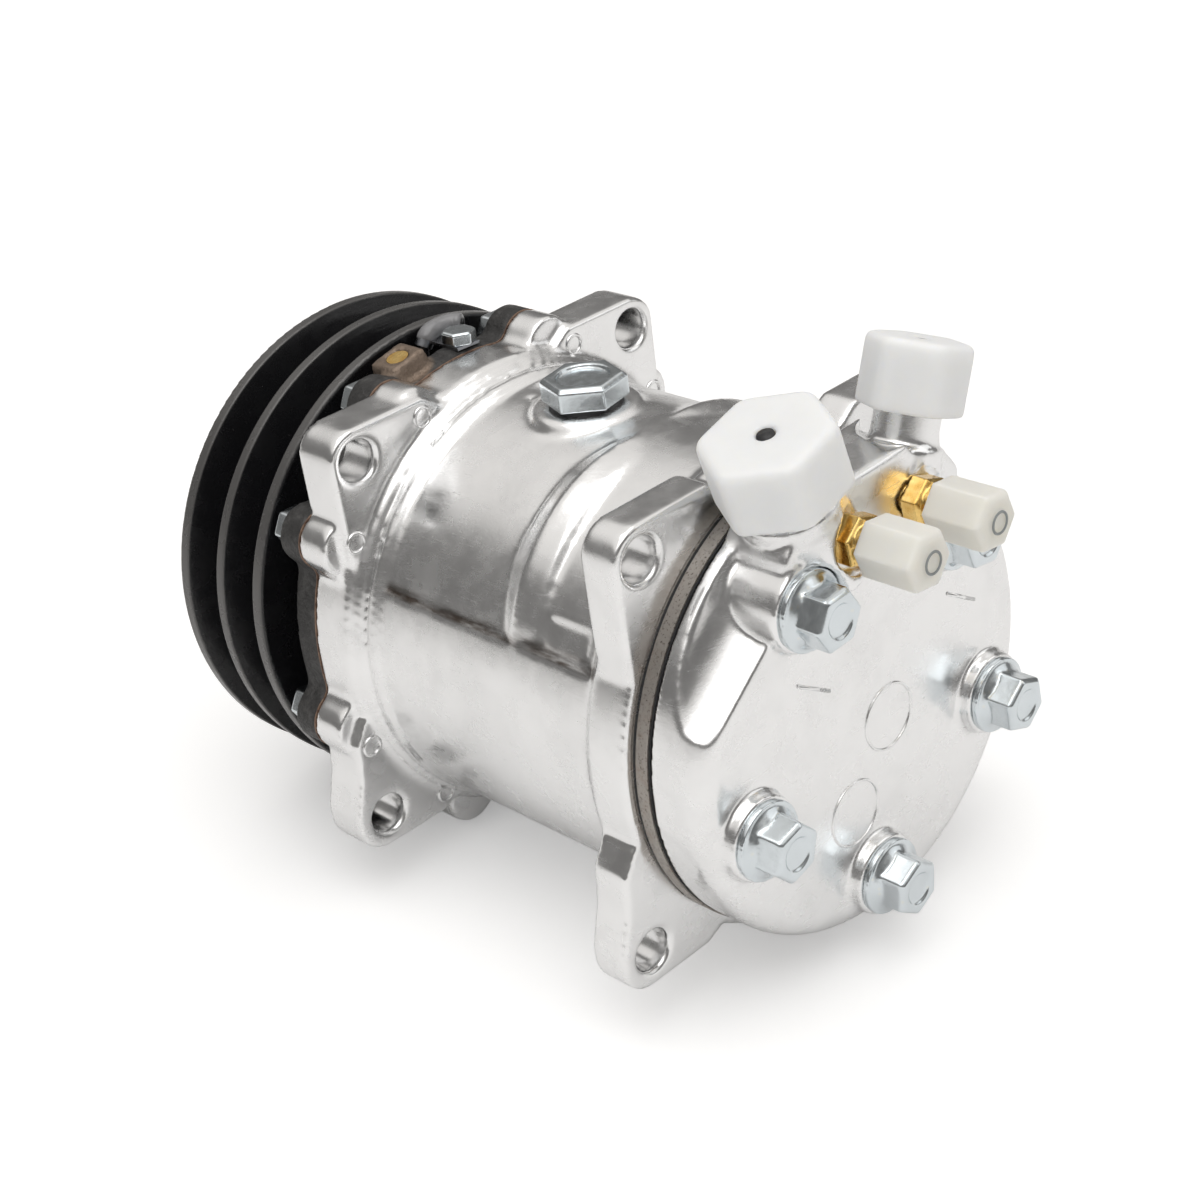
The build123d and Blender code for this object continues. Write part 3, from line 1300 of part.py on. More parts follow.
save(planet_gear.part, "planet_gear")

with BuildPart() as fixed_gear:
    with BuildSketch(Plane(origin=nutation_centre, x_dir=(1, 0, 0), z_dir=(0, 0, 1))):
        with BuildLine():
            Polyline((0, inner_pitch + gear_dedendum), (gear_inner_radius, inner_pitch + gear_dedendum),
                     (gear_outer_radius, outer_pitch + gear_dedendum), (gear_outer_radius, gear_body_height),
                     (guide_radius, gear_body_height), (guide_radius, gear_guide_end), (0, gear_guide_end),
                     close=True)
        make_face()
    revolve(axis=Axis.Y)
    with BuildSketch(station(nutation_y + tooth_blank_height)):
        with PolarLocations(tooth_middle, gear_tooth_count):
            Rectangle(tooth_length, gear_tooth_width)
    extrude(amount=tooth_blank_height)
    with BuildSketch(Plane(origin=nutation_centre, x_dir=(1, 0, 0), z_dir=(0, 0, 1))):
        with BuildLine():
            Polyline((0, inner_pitch - gear_addendum), (gear_inner_radius, inner_pitch - gear_addendum),
                     (gear_outer_radius + 1, outer_pitch + pitch_slope - gear_addendum),
                     (gear_outer_radius + 1, -5), (0, -5), close=True)
        make_face()
    revolve(axis=Axis.Y, mode=Mode.SUBTRACT)
    with Locations(nutation_centre):
        Sphere(centre_ball_radius + running_fit, mode=Mode.SUBTRACT)
    with BuildSketch(station(nutation_y + gear_guide_end - 2)):
        with Locations((0, gear_bore_radius)):
            Rectangle(guide_key_width, guide_key_depth - 0.4)
    extrude(amount=guide_key_length)
save(fixed_gear.part, "fixed_gear")

with BuildPart() as centre_ball:
    with Locations(nutation_centre):
        Sphere(centre_ball_radius)
save(centre_ball.part, "centre_ball")

with BuildPart() as gear_spring:
    spring_start = nutation_y + gear_guide_end + spring_wire_radius + 0.1
    spring_height = bore_deck_y + gear_bore_depth - spring_start - spring_wire_radius - 0.1
    with BuildLine() as coil_line:
        Helix(pitch=spring_height / 5, height=spring_height, radius=spring_radius,
              center=(0, spring_start, 0), direction=(0, 1, 0))
    with BuildSketch(Plane(origin=coil_line.line @ 0, z_dir=coil_line.line % 0)):
        Circle(spring_wire_radius)
    sweep(path=coil_line.line)
save(gear_spring.part, "gear_spring")

# ---------------------------------------------------------------- seats, rods and pistons
for number, angle in enumerate(bore_angles, start=1):
    socket = plate_point(angle)
    bore_x = bore_circle * cos(radians(angle))
    bore_z = bore_circle * sin(radians(angle))
    wrist = Vector(bore_x, socket.Y + rod_rise, bore_z)

    # Half-shell seat between the rod ball and the plate, open towards the cylinder.
    with BuildPart() as ball_seat:
        with BuildSketch(Plane(origin=socket, x_dir=(1, 0, 0), z_dir=(0, 0, 1))):
            Circle(seat_outer_radius)
            Circle(rod_ball_radius + running_fit, mode=Mode.SUBTRACT)
            with Locations((-seat_outer_radius, 0)):
                Rectangle(2 * seat_outer_radius, 4 * seat_outer_radius, mode=Mode.SUBTRACT)
            with Locations((0, seat_outer_radius + 0.6)):
                Rectangle(4 * seat_outer_radius, 2 * seat_outer_radius, mode=Mode.SUBTRACT)
        revolve(axis=Axis(socket, (0, 1, 0)))
    save(ball_seat.part, f"ball_seat_{number}")

    with BuildPart() as connecting_rod:
        with BuildSketch(Plane(origin=socket, z_dir=wrist - socket)):
            Circle(rod_shank_radius)
        extrude(amount=rod_length)
        with Locations(socket, wrist):
            Sphere(rod_ball_radius)
    save(connecting_rod.part, f"connecting_rod_{number}")

    with BuildPart() as piston:
        with BuildSketch(Plane(origin=wrist, x_dir=(1, 0, 0), z_dir=(0, 0, 1))):
            with BuildLine():
                Polyline((0, crown_height), (piston_radius, crown_height), (piston_radius, -skirt_length),
                         (piston_radius - skirt_wall, -skirt_length),
                         (piston_radius - skirt_wall, crown_height - crown_wall),
                         (wrist_boss_radius, crown_height - crown_wall),
                         (wrist_boss_radius, -wrist_boss_drop), (0, -wrist_boss_drop), close=True)
            make_face()
        revolve(axis=Axis(wrist, (0, 1, 0)))
        with Locations(wrist):
            Sphere(rod_ball_radius + running_fit, mode=Mode.SUBTRACT)
        with BuildSketch(station(wrist.Y + crown_height - top_land)):
            with Locations((bore_x, bore_z)):
                Circle(piston_radius + 1)
                Circle(piston_radius - ring_groove_width, mode=Mode.SUBTRACT)
        extrude(amount=ring_groove_width, mode=Mode.SUBTRACT)
        # Piston ring, a separate split ring in its groove.
        with BuildSketch(station(wrist.Y + crown_height - top_land - ring_clearance)):
            with Locations((bore_x, bore_z)):
                Circle(piston_radius)
                Circle(piston_radius - ring_groove_width + 2 * ring_clearance, mode=Mode.SUBTRACT)
            with Locations((bore_x + piston_radius, bore_z)):
                Rectangle(2 * crown_wall, ring_split, mode=Mode.SUBTRACT)
        extrude(amount=ring_groove_width - 2 * ring_clearance)
    save(piston.part, f"piston_{number}")
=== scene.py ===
import json
import math

import bmesh
import bpy
import numpy as np
from mathutils import Matrix, Vector


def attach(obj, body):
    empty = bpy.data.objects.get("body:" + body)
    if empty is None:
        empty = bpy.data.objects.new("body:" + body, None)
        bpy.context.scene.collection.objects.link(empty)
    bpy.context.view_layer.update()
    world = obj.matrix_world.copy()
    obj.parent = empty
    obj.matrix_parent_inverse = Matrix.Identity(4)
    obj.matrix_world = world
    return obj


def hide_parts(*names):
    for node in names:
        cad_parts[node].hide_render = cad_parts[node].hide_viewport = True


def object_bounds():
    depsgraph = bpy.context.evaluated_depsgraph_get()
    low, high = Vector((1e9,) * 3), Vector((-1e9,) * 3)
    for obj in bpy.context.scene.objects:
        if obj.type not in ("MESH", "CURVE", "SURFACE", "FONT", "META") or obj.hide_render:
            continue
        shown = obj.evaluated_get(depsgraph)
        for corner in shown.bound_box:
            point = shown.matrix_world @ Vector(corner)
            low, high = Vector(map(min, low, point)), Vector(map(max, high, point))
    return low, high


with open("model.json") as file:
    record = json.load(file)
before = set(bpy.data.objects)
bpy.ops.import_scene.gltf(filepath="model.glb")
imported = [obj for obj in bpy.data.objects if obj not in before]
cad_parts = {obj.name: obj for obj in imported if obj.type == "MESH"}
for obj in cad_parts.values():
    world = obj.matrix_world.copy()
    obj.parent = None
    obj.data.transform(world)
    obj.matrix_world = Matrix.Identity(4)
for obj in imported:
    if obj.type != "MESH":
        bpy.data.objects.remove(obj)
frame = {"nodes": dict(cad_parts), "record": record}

# Looks of a wobble-plate air-conditioning compressor. Metres, in the row frame: the shaft runs along Y,
# the pulley is at -Y, the cylinder head at +Y, and +Z is up.

MM = 0.001
nodes = frame["nodes"]
cad_low, cad_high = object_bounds()
scene = bpy.context.scene
depsgraph = bpy.context.evaluated_depsgraph_get


# ---------------------------------------------------------------- materials
class Finish:
    """A procedural material. Its helpers chain nodes, and its coordinates are millimetres in the row frame."""

    def __init__(self, name, color=(0.8, 0.8, 0.8), metallic=0.0, roughness=0.5):
        self.material = bpy.data.materials.new(name)
        self.material.use_nodes = True
        self.tree = self.material.node_tree
        self.shader = self.tree.nodes["Principled BSDF"]
        place = self.node("ShaderNodeTexCoord")
        scale = self.node("ShaderNodeVectorMath", operation="SCALE")
        scale.inputs["Scale"].default_value = 1 / MM
        self.tree.links.new(place.outputs["Object"], scale.inputs[0])
        self.place = scale.outputs[0]
        self.relief = None
        self.set("Base Color", (*color, 1))
        self.set("Metallic", metallic)
        self.set("Roughness", roughness)

    def node(self, kind, **settings):
        made = self.tree.nodes.new(kind)
        for key, value in settings.items():
            setattr(made, key, value)
        return made

    def plug(self, value, socket):
        """Link an output to a socket, or set the socket's own value."""
        if isinstance(value, bpy.types.NodeSocket):
            self.tree.links.new(value, socket)
        else:
            socket.default_value = value

    def set(self, name, value):
        self.plug(value, self.shader.inputs[name])
        return self

    def noise(self, size, detail=3.0, rough=0.55, stretch=(1, 1, 1), distort=0.0):
        """Noise from 0 to 1, whose features are about size mm across, longer along an axis with stretch over 1."""
        vector = self.node("ShaderNodeVectorMath", operation="MULTIPLY")
        self.plug(self.place, vector.inputs[0])
        vector.inputs[1].default_value = [1 / (size * s) for s in stretch]
        made = self.node("ShaderNodeTexNoise")
        self.plug(vector.outputs[0], made.inputs["Vector"])
        made.inputs["Scale"].default_value = 1.0
        made.inputs["Detail"].default_value = detail
        made.inputs["Roughness"].default_value = rough
        made.inputs["Distortion"].default_value = distort
        return made.outputs["Fac"]

    def cells(self, size, spread=1.0):
        made = self.node("ShaderNodeTexVoronoi")
        vector = self.node("ShaderNodeVectorMath", operation="SCALE")
        self.plug(self.place, vector.inputs[0])
        vector.inputs["Scale"].default_value = 1 / size
        self.plug(vector.outputs[0], made.inputs["Vector"])
        made.inputs["Scale"].default_value = 1.0
        made.inputs["Randomness"].default_value = spread
        return made.outputs["Distance"]

    def span(self, value, low, high, to_low=0.0, to_high=1.0):
        """Remap a value smoothly from low..high to to_low..to_high, held at the ends."""
        made = self.node("ShaderNodeMapRange", interpolation_type="SMOOTHSTEP")
        self.plug(value, made.inputs["Value"])
        for name, number in (("From Min", low), ("From Max", high), ("To Min", to_low), ("To Max", to_high)):
            made.inputs[name].default_value = number
        return made.outputs["Result"]

    def sum(self, operation, first, second=0.0):
        made = self.node("ShaderNodeMath", operation=operation)
        self.plug(first, made.inputs[0])
        self.plug(second, made.inputs[1])
        return made.outputs[0]

    def blend(self, share, first, second):
        """Colour between first and second."""
        made = self.node("ShaderNodeMix", data_type="RGBA")
        self.plug(share, made.inputs[0])
        for value, socket in ((first, made.inputs[6]), (second, made.inputs[7])):
            self.plug((*value, 1) if isinstance(value, tuple) else value, socket)
        return made.outputs[2]

    def along(self, axis):
        """Position along an axis in millimetres."""
        made = self.node("ShaderNodeSeparateXYZ")
        self.plug(self.place, made.inputs[0])
        return made.outputs[axis]

    def radius(self, flatten=(1, 0, 1)):
        """Distance in millimetres from the shaft axis, or from the axis whose share in flatten is 0."""
        flat = self.node("ShaderNodeVectorMath", operation="MULTIPLY")
        self.plug(self.place, flat.inputs[0])
        flat.inputs[1].default_value = flatten
        made = self.node("ShaderNodeVectorMath", operation="LENGTH")
        self.plug(flat.outputs[0], made.inputs[0])
        return made.outputs["Value"]

    def bump(self, height, depth, strength=1.0):
        """Relief whose height of 1 stands for depth mm, on top of any relief already there."""
        made = self.node("ShaderNodeBump")
        made.inputs["Distance"].default_value = depth * MM
        made.inputs["Strength"].default_value = strength
        self.plug(height, made.inputs["Height"])
        if self.relief is not None:
            self.plug(self.relief, made.inputs["Normal"])
        self.relief = made.outputs["Normal"]
        return self.set("Normal", self.relief)

    def edges(self, width):
        """1 on sharp edges and 0 on flat faces, from how far a bevel of that width in mm turns the normal."""
        soft = self.node("ShaderNodeBevel", samples=4)
        soft.inputs["Radius"].default_value = width * MM
        flat = self.node("ShaderNodeNewGeometry")
        product = self.node("ShaderNodeVectorMath", operation="DOT_PRODUCT")
        self.plug(soft.outputs[0], product.inputs[0])
        self.plug(flat.outputs["Normal"], product.inputs[1])
        return self.span(product.outputs["Value"], 0.99, 0.86)

    def crests(self, low=0.53, high=0.62):
        """1 on the convex edges of a finely meshed piece."""
        shape = self.node("ShaderNodeNewGeometry")
        return self.span(shape.outputs["Pointiness"], low, high)

    def round_edges(self, width):
        """Shade sharp edges as if they were rounded to that radius in mm."""
        soft = self.node("ShaderNodeBevel", samples=4)
        soft.inputs["Radius"].default_value = width * MM
        self.relief = soft.outputs[0]
        return self.set("Normal", self.relief)


def abs_gap(finish, axis, middle):
    """Distance in millimetres from a station on an axis."""
    return finish.sum("ABSOLUTE", finish.sum("SUBTRACT", finish.along(axis), middle))


def cast_aluminium(name, tint, grain, shine, seam_z=None):
    """Tumbled die-cast aluminium: bright, faintly stained, with soft dents and fine scratches, and painted shade as
    a dark, patchy line along the cast step at seam_z.
    """
    finish = Finish(name, metallic=1.0)
    stain = finish.span(finish.noise(26, 4, 0.6, distort=0.4), 0.42, 0.72)
    speck = finish.span(finish.noise(2.2, 5, 0.7), 0.66, 0.80)
    dull = finish.sum("MAXIMUM", finish.sum("MULTIPLY", stain, 0.20), finish.sum("MULTIPLY", speck, 0.40))
    base = finish.blend(dull, tint, tuple(c * 0.62 for c in tint))
    # Painted shade: a dark brown, patchy line on the barrel just above the cast step at seam_z, standing in for the
    # step's shade.
    if seam_z is not None:
        height = finish.along(2)
        line = finish.sum("MULTIPLY", finish.span(height, seam_z - 0.6, seam_z + 0.3),
                          finish.span(height, seam_z + 3.4, seam_z + 0.8))
        on_barrel = finish.sum("MULTIPLY", finish.span(finish.radius(), 56.0, 56.6),
                               finish.span(abs_gap(finish, 1, 45.0), 38.0, 36.0))
        step_shade_patchiness = finish.span(finish.noise(3.0, 4, 0.6, stretch=(1, 5, 1)), 0.30, 0.62)
        share = finish.sum("MULTIPLY", finish.sum("MULTIPLY", line, on_barrel), step_shade_patchiness)
        base = finish.blend(share, base, (0.16, 0.13, 0.11))
    finish.set("Base Color", base)
    scratch = finish.span(finish.noise(0.9, 3, 0.6, stretch=(9, 9, 0.5)), 0.55, 0.75)
    rough = finish.sum("ADD", finish.span(finish.noise(9, 4, 0.6), 0.3, 0.7, shine, shine + 0.14),
                       finish.sum("MULTIPLY", scratch, 0.08))
    finish.set("Roughness", rough)
    finish.bump(finish.noise(16, 2, 0.5), 0.12)
    finish.bump(finish.noise(0.8, 4, 0.6), grain)
    return finish.material


def turned_metal(name, tint, shine, lines=0.02):
    """Machined metal with fine turning lines round the shaft direction."""
    finish = Finish(name, metallic=1.0)
    patch = finish.span(finish.noise(12, 3, 0.6), 0.4, 0.75)
    finish.set("Base Color", finish.blend(patch, tint, tuple(c * 0.8 for c in tint)))
    finish.set("Roughness", finish.span(finish.noise(5, 4, 0.6), 0.3, 0.7, shine, shine + 0.12))
    finish.round_edges(0.25)
    finish.bump(finish.noise(0.35, 2, 0.5, stretch=(40, 1, 40)), lines)
    return finish.material


def rough_casting(name, tint, warm_place, warm_reach):
    """Coarse, matt, dark sprayed casting with a sandy skin, and a bronze-coloured patch round a place."""
    finish = Finish(name, metallic=0.35)
    grain = finish.noise(0.9, 6, 0.7)
    pits = finish.cells(1.6)
    pale = finish.span(finish.noise(5, 5, 0.7), 0.45, 0.8)
    base = finish.blend(pale, tint, tuple(c * 2.6 for c in tint))
    gap = finish.node("ShaderNodeVectorMath", operation="DISTANCE")
    finish.plug(finish.place, gap.inputs[0])
    gap.inputs[1].default_value = warm_place
    warm = finish.span(gap.outputs["Value"], warm_reach, warm_reach - 2)
    finish.set("Base Color", finish.blend(warm, base, (0.27, 0.21, 0.165)))
    finish.set("Metallic", finish.span(warm, 0, 1, 0.35, 0.9))
    finish.set("Roughness", finish.span(grain, 0.3, 0.7, 0.36, 0.62))
    finish.bump(finish.noise(3.5, 3, 0.6), 0.5)
    finish.bump(finish.sum("ADD", grain, finish.sum("MULTIPLY", pits, 0.5)), 0.28)
    return finish.material


def black_paint(name):
    """Satin black coat, rubbed to bare grey metal on the sharp rims, with a painted highlight of pale grey metal
    round the rim crests, and a few dust specks.
    """
    finish = Finish(name, metallic=0.0)
    wear = finish.edges(0.9)
    patchy = finish.span(finish.noise(4, 4, 0.7, stretch=(1, 0.3, 1)), 0.38, 0.62)
    # Painted highlight: beyond radius 65.5 mm the rim crests turn partly to pale grey metal, standing in for streaks
    # of reflected light.
    rim_crest_highlight = finish.sum("MULTIPLY", finish.span(finish.radius(), 65.5, 65.9), 0.30)
    wear_and_rim_highlight = finish.sum("MAXIMUM", finish.sum("MULTIPLY", wear, patchy), rim_crest_highlight)
    dust = finish.span(finish.noise(1.3, 2, 0.4), 0.74, 0.80)
    paint = finish.blend(finish.sum("MULTIPLY", dust, 0.25), (0.007, 0.007, 0.008), (0.12, 0.12, 0.12))
    # Worn edges (real wear) and the painted crest highlight both show as the same pale grey metal.
    finish.set("Base Color", finish.blend(wear_and_rim_highlight, paint, (0.34, 0.33, 0.32)))
    finish.set("Metallic", finish.sum("MULTIPLY", wear_and_rim_highlight, 0.9))
    finish.set("Roughness", finish.span(finish.noise(7, 4, 0.6), 0.3, 0.7, 0.20, 0.32))
    finish.round_edges(0.35)
    finish.bump(finish.noise(0.5, 2, 0.5, stretch=(30, 1, 30)), 0.03)
    finish.bump(finish.noise(1.4, 3, 0.6), 0.03)
    return finish.material


def zinc_plate(name, tint=(0.74, 0.79, 0.82)):
    """Blue-white zinc plate that yellows slightly towards the edges."""
    finish = Finish(name, metallic=1.0)
    wear = finish.crests()
    cloud = finish.span(finish.noise(5.0, 3, 0.5), 0.30, 0.75)
    base = finish.blend(finish.sum("MULTIPLY", cloud, 0.4), tint, (0.66, 0.71, 0.73))
    finish.set("Base Color", finish.blend(finish.sum("MULTIPLY", wear, 0.35), base, (0.84, 0.82, 0.72)))
    finish.set("Roughness", finish.span(finish.noise(2.0, 3, 0.5), 0.3, 0.7, 0.17, 0.27))
    finish.bump(finish.noise(2.4, 3, 0.5), 0.04)
    return finish.material


def dark_steel(name, tint, shine=0.35):
    """Plain steel edge with a porous, lightly rusted skin."""
    finish = Finish(name, metallic=0.85)
    pore = finish.span(finish.noise(0.7, 5, 0.7), 0.52, 0.70)
    rust = finish.span(finish.noise(6, 4, 0.7), 0.5, 0.8)
    base = finish.blend(finish.sum("MULTIPLY", rust, 0.6), tint, (0.30, 0.22, 0.17))
    finish.set("Base Color", finish.blend(pore, base, (0.07, 0.06, 0.05)))
    finish.set("Roughness", finish.span(finish.noise(2, 4, 0.6), 0.3, 0.7, shine, shine + 0.2))
    finish.bump(finish.noise(0.7, 5, 0.7), 0.12)
    return finish.material


def rubber(name, tint=(0.012, 0.012, 0.013), rough=0.6):
    finish = Finish(name, metallic=0.0)
    finish.set("Base Color", finish.blend(finish.noise(3, 4, 0.6), tint, tuple(c * 2.2 for c in tint)))
    finish.set("Roughness", finish.span(finish.noise(1.2, 4, 0.6), 0.3, 0.7, rough - 0.12, rough + 0.12))
    finish.bump(finish.noise(0.6, 4, 0.6), 0.05)
    return finish.material


def gasket_copper(name):
    """Brown coated gasket whose edge shows as a coppery line."""
    finish = Finish(name, metallic=0.5)
    cloud = finish.noise(2.5, 4, 0.7)
    finish.set("Base Color", finish.blend(finish.span(cloud, 0.35, 0.7), (0.32, 0.21, 0.15), (0.13, 0.08, 0.06)))
    finish.set("Roughness", 0.5)
    finish.bump(cloud, 0.05)
    return finish.material


def brass(name):
    """Bright machined brass, a little tarnished in random patches."""
    finish = Finish(name, metallic=1.0)
    cloud = finish.span(finish.noise(3.0, 4, 0.6), 0.35, 0.75)
    finish.set("Base Color", finish.blend(cloud, (0.86, 0.60, 0.22), (0.70, 0.42, 0.11)))
    finish.set("Roughness", finish.span(finish.noise(2, 4, 0.6), 0.3, 0.7, 0.16, 0.30))
    finish.bump(finish.noise(0.3, 2, 0.5, stretch=(40, 1, 40)), 0.015)
    return finish.material


def frosted_plastic(name, tint, through, rough=0.5):
    """Moulded polyethylene: light soaks in, and the skin has a faint matt bloom."""
    finish = Finish(name, metallic=0.0)
    cloud = finish.noise(8, 3, 0.5)
    finish.set("Base Color", finish.blend(cloud, tint, tuple(c * 0.94 for c in tint)))
    finish.set("Roughness", finish.span(finish.noise(2.2, 4, 0.6), 0.3, 0.7, rough - 0.08, rough + 0.08))
    finish.set("Subsurface Weight", 0.85)
    finish.set("Subsurface Radius", (1.0, 0.95, 0.85))
    finish.set("Subsurface Scale", 3.5 * MM)
    finish.set("Transmission Weight", through)
    finish.set("IOR", 1.50)
    finish.bump(finish.noise(0.5, 3, 0.6), 0.02)
    finish.bump(finish.noise(11, 2, 0.5), 0.25)
    return finish.material


def sleeve_plastic(name, tint, rough=0.22):
    """Glossy heat-shrunk sleeve."""
    finish = Finish(name, metallic=0.0)
    finish.set("Base Color", finish.blend(finish.noise(3, 3, 0.5), tint, tuple(c * 1.7 for c in tint)))
    finish.set("Roughness", rough)
    finish.set("Coat Weight", 0.5)
    finish.set("Coat Roughness", 0.12)
    finish.bump(finish.noise(2.4, 3, 0.6), 0.12)
    return finish.material


finishes = {
    "cast_aluminium": cast_aluminium("cast_aluminium", (0.90, 0.90, 0.90), 0.014, 0.17, 22.5),
    "machined_aluminium": turned_metal("machined_aluminium", (0.84, 0.85, 0.86), 0.16),
    "dark_casting": rough_casting("dark_casting", (0.042, 0.041, 0.040), (14.2, -22.0, 62.5), 9.5),
    "pulley_black": black_paint("pulley_black"),
    "plate_steel": dark_steel("plate_steel", (0.40, 0.37, 0.34)),
    "bright_steel": turned_metal("bright_steel", (0.58, 0.59, 0.61), 0.18),
    "spring_steel": turned_metal("spring_steel", (0.30, 0.31, 0.33), 0.25),
    "zinc_bolt": zinc_plate("zinc_bolt"),
    "copper_gasket": gasket_copper("copper_gasket"),
    "black_gasket": rubber("black_gasket"),
    "seal_rubber": rubber("seal_rubber", rough=0.45),
    "valve_brass": brass("valve_brass"),
    "cap_white": frosted_plastic("cap_white", (0.90, 0.91, 0.91), 0.0),
    "cap_clear": frosted_plastic("cap_clear", (0.95, 0.92, 0.84), 0.10, 0.42),
    "coil_black": rubber("coil_black", (0.02, 0.02, 0.02), 0.4),
    "lead_sleeve": sleeve_plastic("lead_sleeve", (0.16, 0.16, 0.165)),
}


def dress(piece, slot, finish=None):
    """Give a piece the finish of a material slot in the record, or its own finish under that slot."""
    piece.data.materials.clear()
    piece.data.materials.append(finish or finishes[slot])


for subpart in frame["record"]["subparts"]:
    dress(nodes[subpart["node"]], subpart["material_slot"])
    for polygon in nodes[subpart["node"]].data.polygons:
        polygon.material_index = 0

# ---------------------------------------------------------------- shapes
def add_piece(name, mesh, body, slot, finish=None):
    """Link a mesh as a smooth-shaded piece that rides on a body."""
    piece = bpy.data.objects.new(name, mesh)
    scene.collection.objects.link(piece)
    mesh.shade_smooth()
    dress(piece, slot, finish)
    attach(piece, body)
    return piece


def read_points(mesh):
    flat = np.empty(len(mesh.vertices) * 3)
    mesh.vertices.foreach_get("co", flat)
    return flat.reshape(-1, 3) / MM


def write_points(mesh, points):
    mesh.vertices.foreach_set("co", (points * MM).ravel())
    mesh.update()


def remeshed(node, voxel):
    """Even quad mesh of a CAD node, with faces about voxel mm across."""
    source = bpy.data.objects.new("source", nodes[node].data.copy())
    scene.collection.objects.link(source)
    weld = source.modifiers.new("weld", "WELD")
    weld.merge_threshold = 0.001 * MM
    grid = source.modifiers.new("grid", "REMESH")
    grid.mode = "VOXEL"
    grid.voxel_size = voxel * MM
    mesh = bpy.data.meshes.new_from_object(source.evaluated_get(depsgraph()))
    bpy.data.objects.remove(source)
    return mesh


def relax(mesh, points, rounds, freedom=None):
    """Round edges off by moving each point towards its neighbours, as far as its freedom from 0 to 1 lets it."""
    ends = np.empty(len(mesh.edges) * 2, np.int64)
    mesh.edges.foreach_get("vertices", ends)
    one, two = ends.reshape(-1, 2).T
    count = len(points)
    degree = np.bincount(one, minlength=count) + np.bincount(two, minlength=count)
    share = 0.5 if freedom is None else 0.5 * freedom[:, None]
    for _ in range(rounds):
        total = np.stack([np.bincount(one, points[two, axis], count) + np.bincount(two, points[one, axis], count)
                          for axis in range(3)], 1)
        points = points + share * (total / degree[:, None] - points)
    return points


def true_radius(points, radius, low_y, high_y, reach=0.12):
    """Bring points that lie within reach of a cylinder round the shaft exactly onto it."""
    distance = np.hypot(points[:, 0], points[:, 2])
    near = (abs(distance - radius) < reach) & (points[:, 1] > low_y) & (points[:, 1] < high_y)
    factor = np.where(near, radius / np.maximum(distance, 1e-6), 1)
    return points * np.stack([factor, np.ones_like(factor), factor], 1)


def cast_copy(node, body, slot, voxel, rounds, trim=None, freedom=None):
    """Soft-edged stand-in for a sharp-edged CAD node."""
    mesh = remeshed(node, voxel)
    points = read_points(mesh)
    if trim:
        points = trim(points)
    points = relax(mesh, points, rounds, freedom(points) if freedom else None)
    write_points(mesh, points)
    piece = add_piece(node + "_skin", mesh, body, slot)
    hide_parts(node)
    return piece


def block_trim(points):
    for radius, low_y, high_y in ((57.0, 8.5, 82), (57.8, 7, 82), (62.0, -13, 0), (61.3, 84, 96)):
        points = true_radius(points, radius, low_y, high_y)
    return points


def machined_ends(low_y, high_y, ease=1.5):
    """Freedom of 0 on the two machined end faces, rising to 1 within ease mm of them."""
    def freedom(points):
        gap = np.minimum(points[:, 1] - low_y, high_y - points[:, 1])
        return np.clip(gap / ease, 0.0, 1.0)
    return freedom


cast_copy("cylinder_block", "root", "cast_aluminium", 0.75, 8, block_trim, machined_ends(-13.0, 95.8))
cast_copy("cylinder_head", "root", "cast_aluminium", 0.6, 8, None, machined_ends(100.5, 300))
cast_copy("front_housing", "root", "dark_casting", 0.7, 5, None, machined_ends(-300, -13.3))
cast_copy("head_bolts", "root", "zinc_bolt", 0.35, 3)
cast_copy("front_housing_bolts", "root", "zinc_bolt", 0.35, 3)
cast_copy("oil_plug", "root", "zinc_bolt", 0.3, 3)
cast_copy("lead_clamp_screw", "root", "zinc_bolt", 0.25, 2)
cast_copy("service_valves", "root", "valve_brass", 0.25, 2)
for cap in ("suction_port_cap", "discharge_port_cap"):
    cast_copy(cap, cap, "cap_white", 0.40, 20)
for cap in ("suction_valve_cap", "discharge_valve_cap"):
    cast_copy(cap, cap, "cap_clear", 0.22, 8)


# ---------------------------------------------------------------- small cast and moulded details
def ring_set(name, body, slot, rings, thickness, finish=None):
    """Thin round wires, one for each centre, axis direction and radius in millimetres."""
    shape = bmesh.new()
    around, across = 48, 8
    for centre, axis, radius in rings:
        turn = Vector((0, 0, 1)).rotation_difference(Vector(axis)).to_matrix()
        grid = []
        for step in range(around):
            angle = math.tau * step / around
            spoke = Vector((math.cos(angle), math.sin(angle), 0))
            grid.append([shape.verts.new((turn @ (spoke * (radius + thickness * math.cos(turn_across))
                                                  + Vector((0, 0, thickness * math.sin(turn_across))))
                                          + Vector(centre)) * MM)
                         for turn_across in (math.tau * k / across for k in range(across))])
        for step in range(around):
            for k in range(across):
                shape.faces.new((grid[step][k], grid[(step + 1) % around][k],
                                 grid[(step + 1) % around][(k + 1) % across], grid[step][(k + 1) % across]))
    mesh = bpy.data.meshes.new(name)
    shape.to_mesh(mesh)
    shape.free()
    return add_piece(name, mesh, body, slot, finish)


pin_marks = [(side * x, 0.0, z) for side in (1, -1)
             for x, z in ((26.4, 57.4), (53.0, 34.1), (60.2, -21.3), (40.1, -46.6))]
ring_set("ear_pin_marks", "root", "cast_aluminium", [(mark, (0, 1, 0), 2.5) for mark in pin_marks], 0.5)
ring_set("head_pad_marks", "root", "cast_aluminium",
         [((x, 116.1, z), (0, 1, 0), 8.3) for x, z in ((9, -24.8), (-5.1, -5.4))], 0.35)


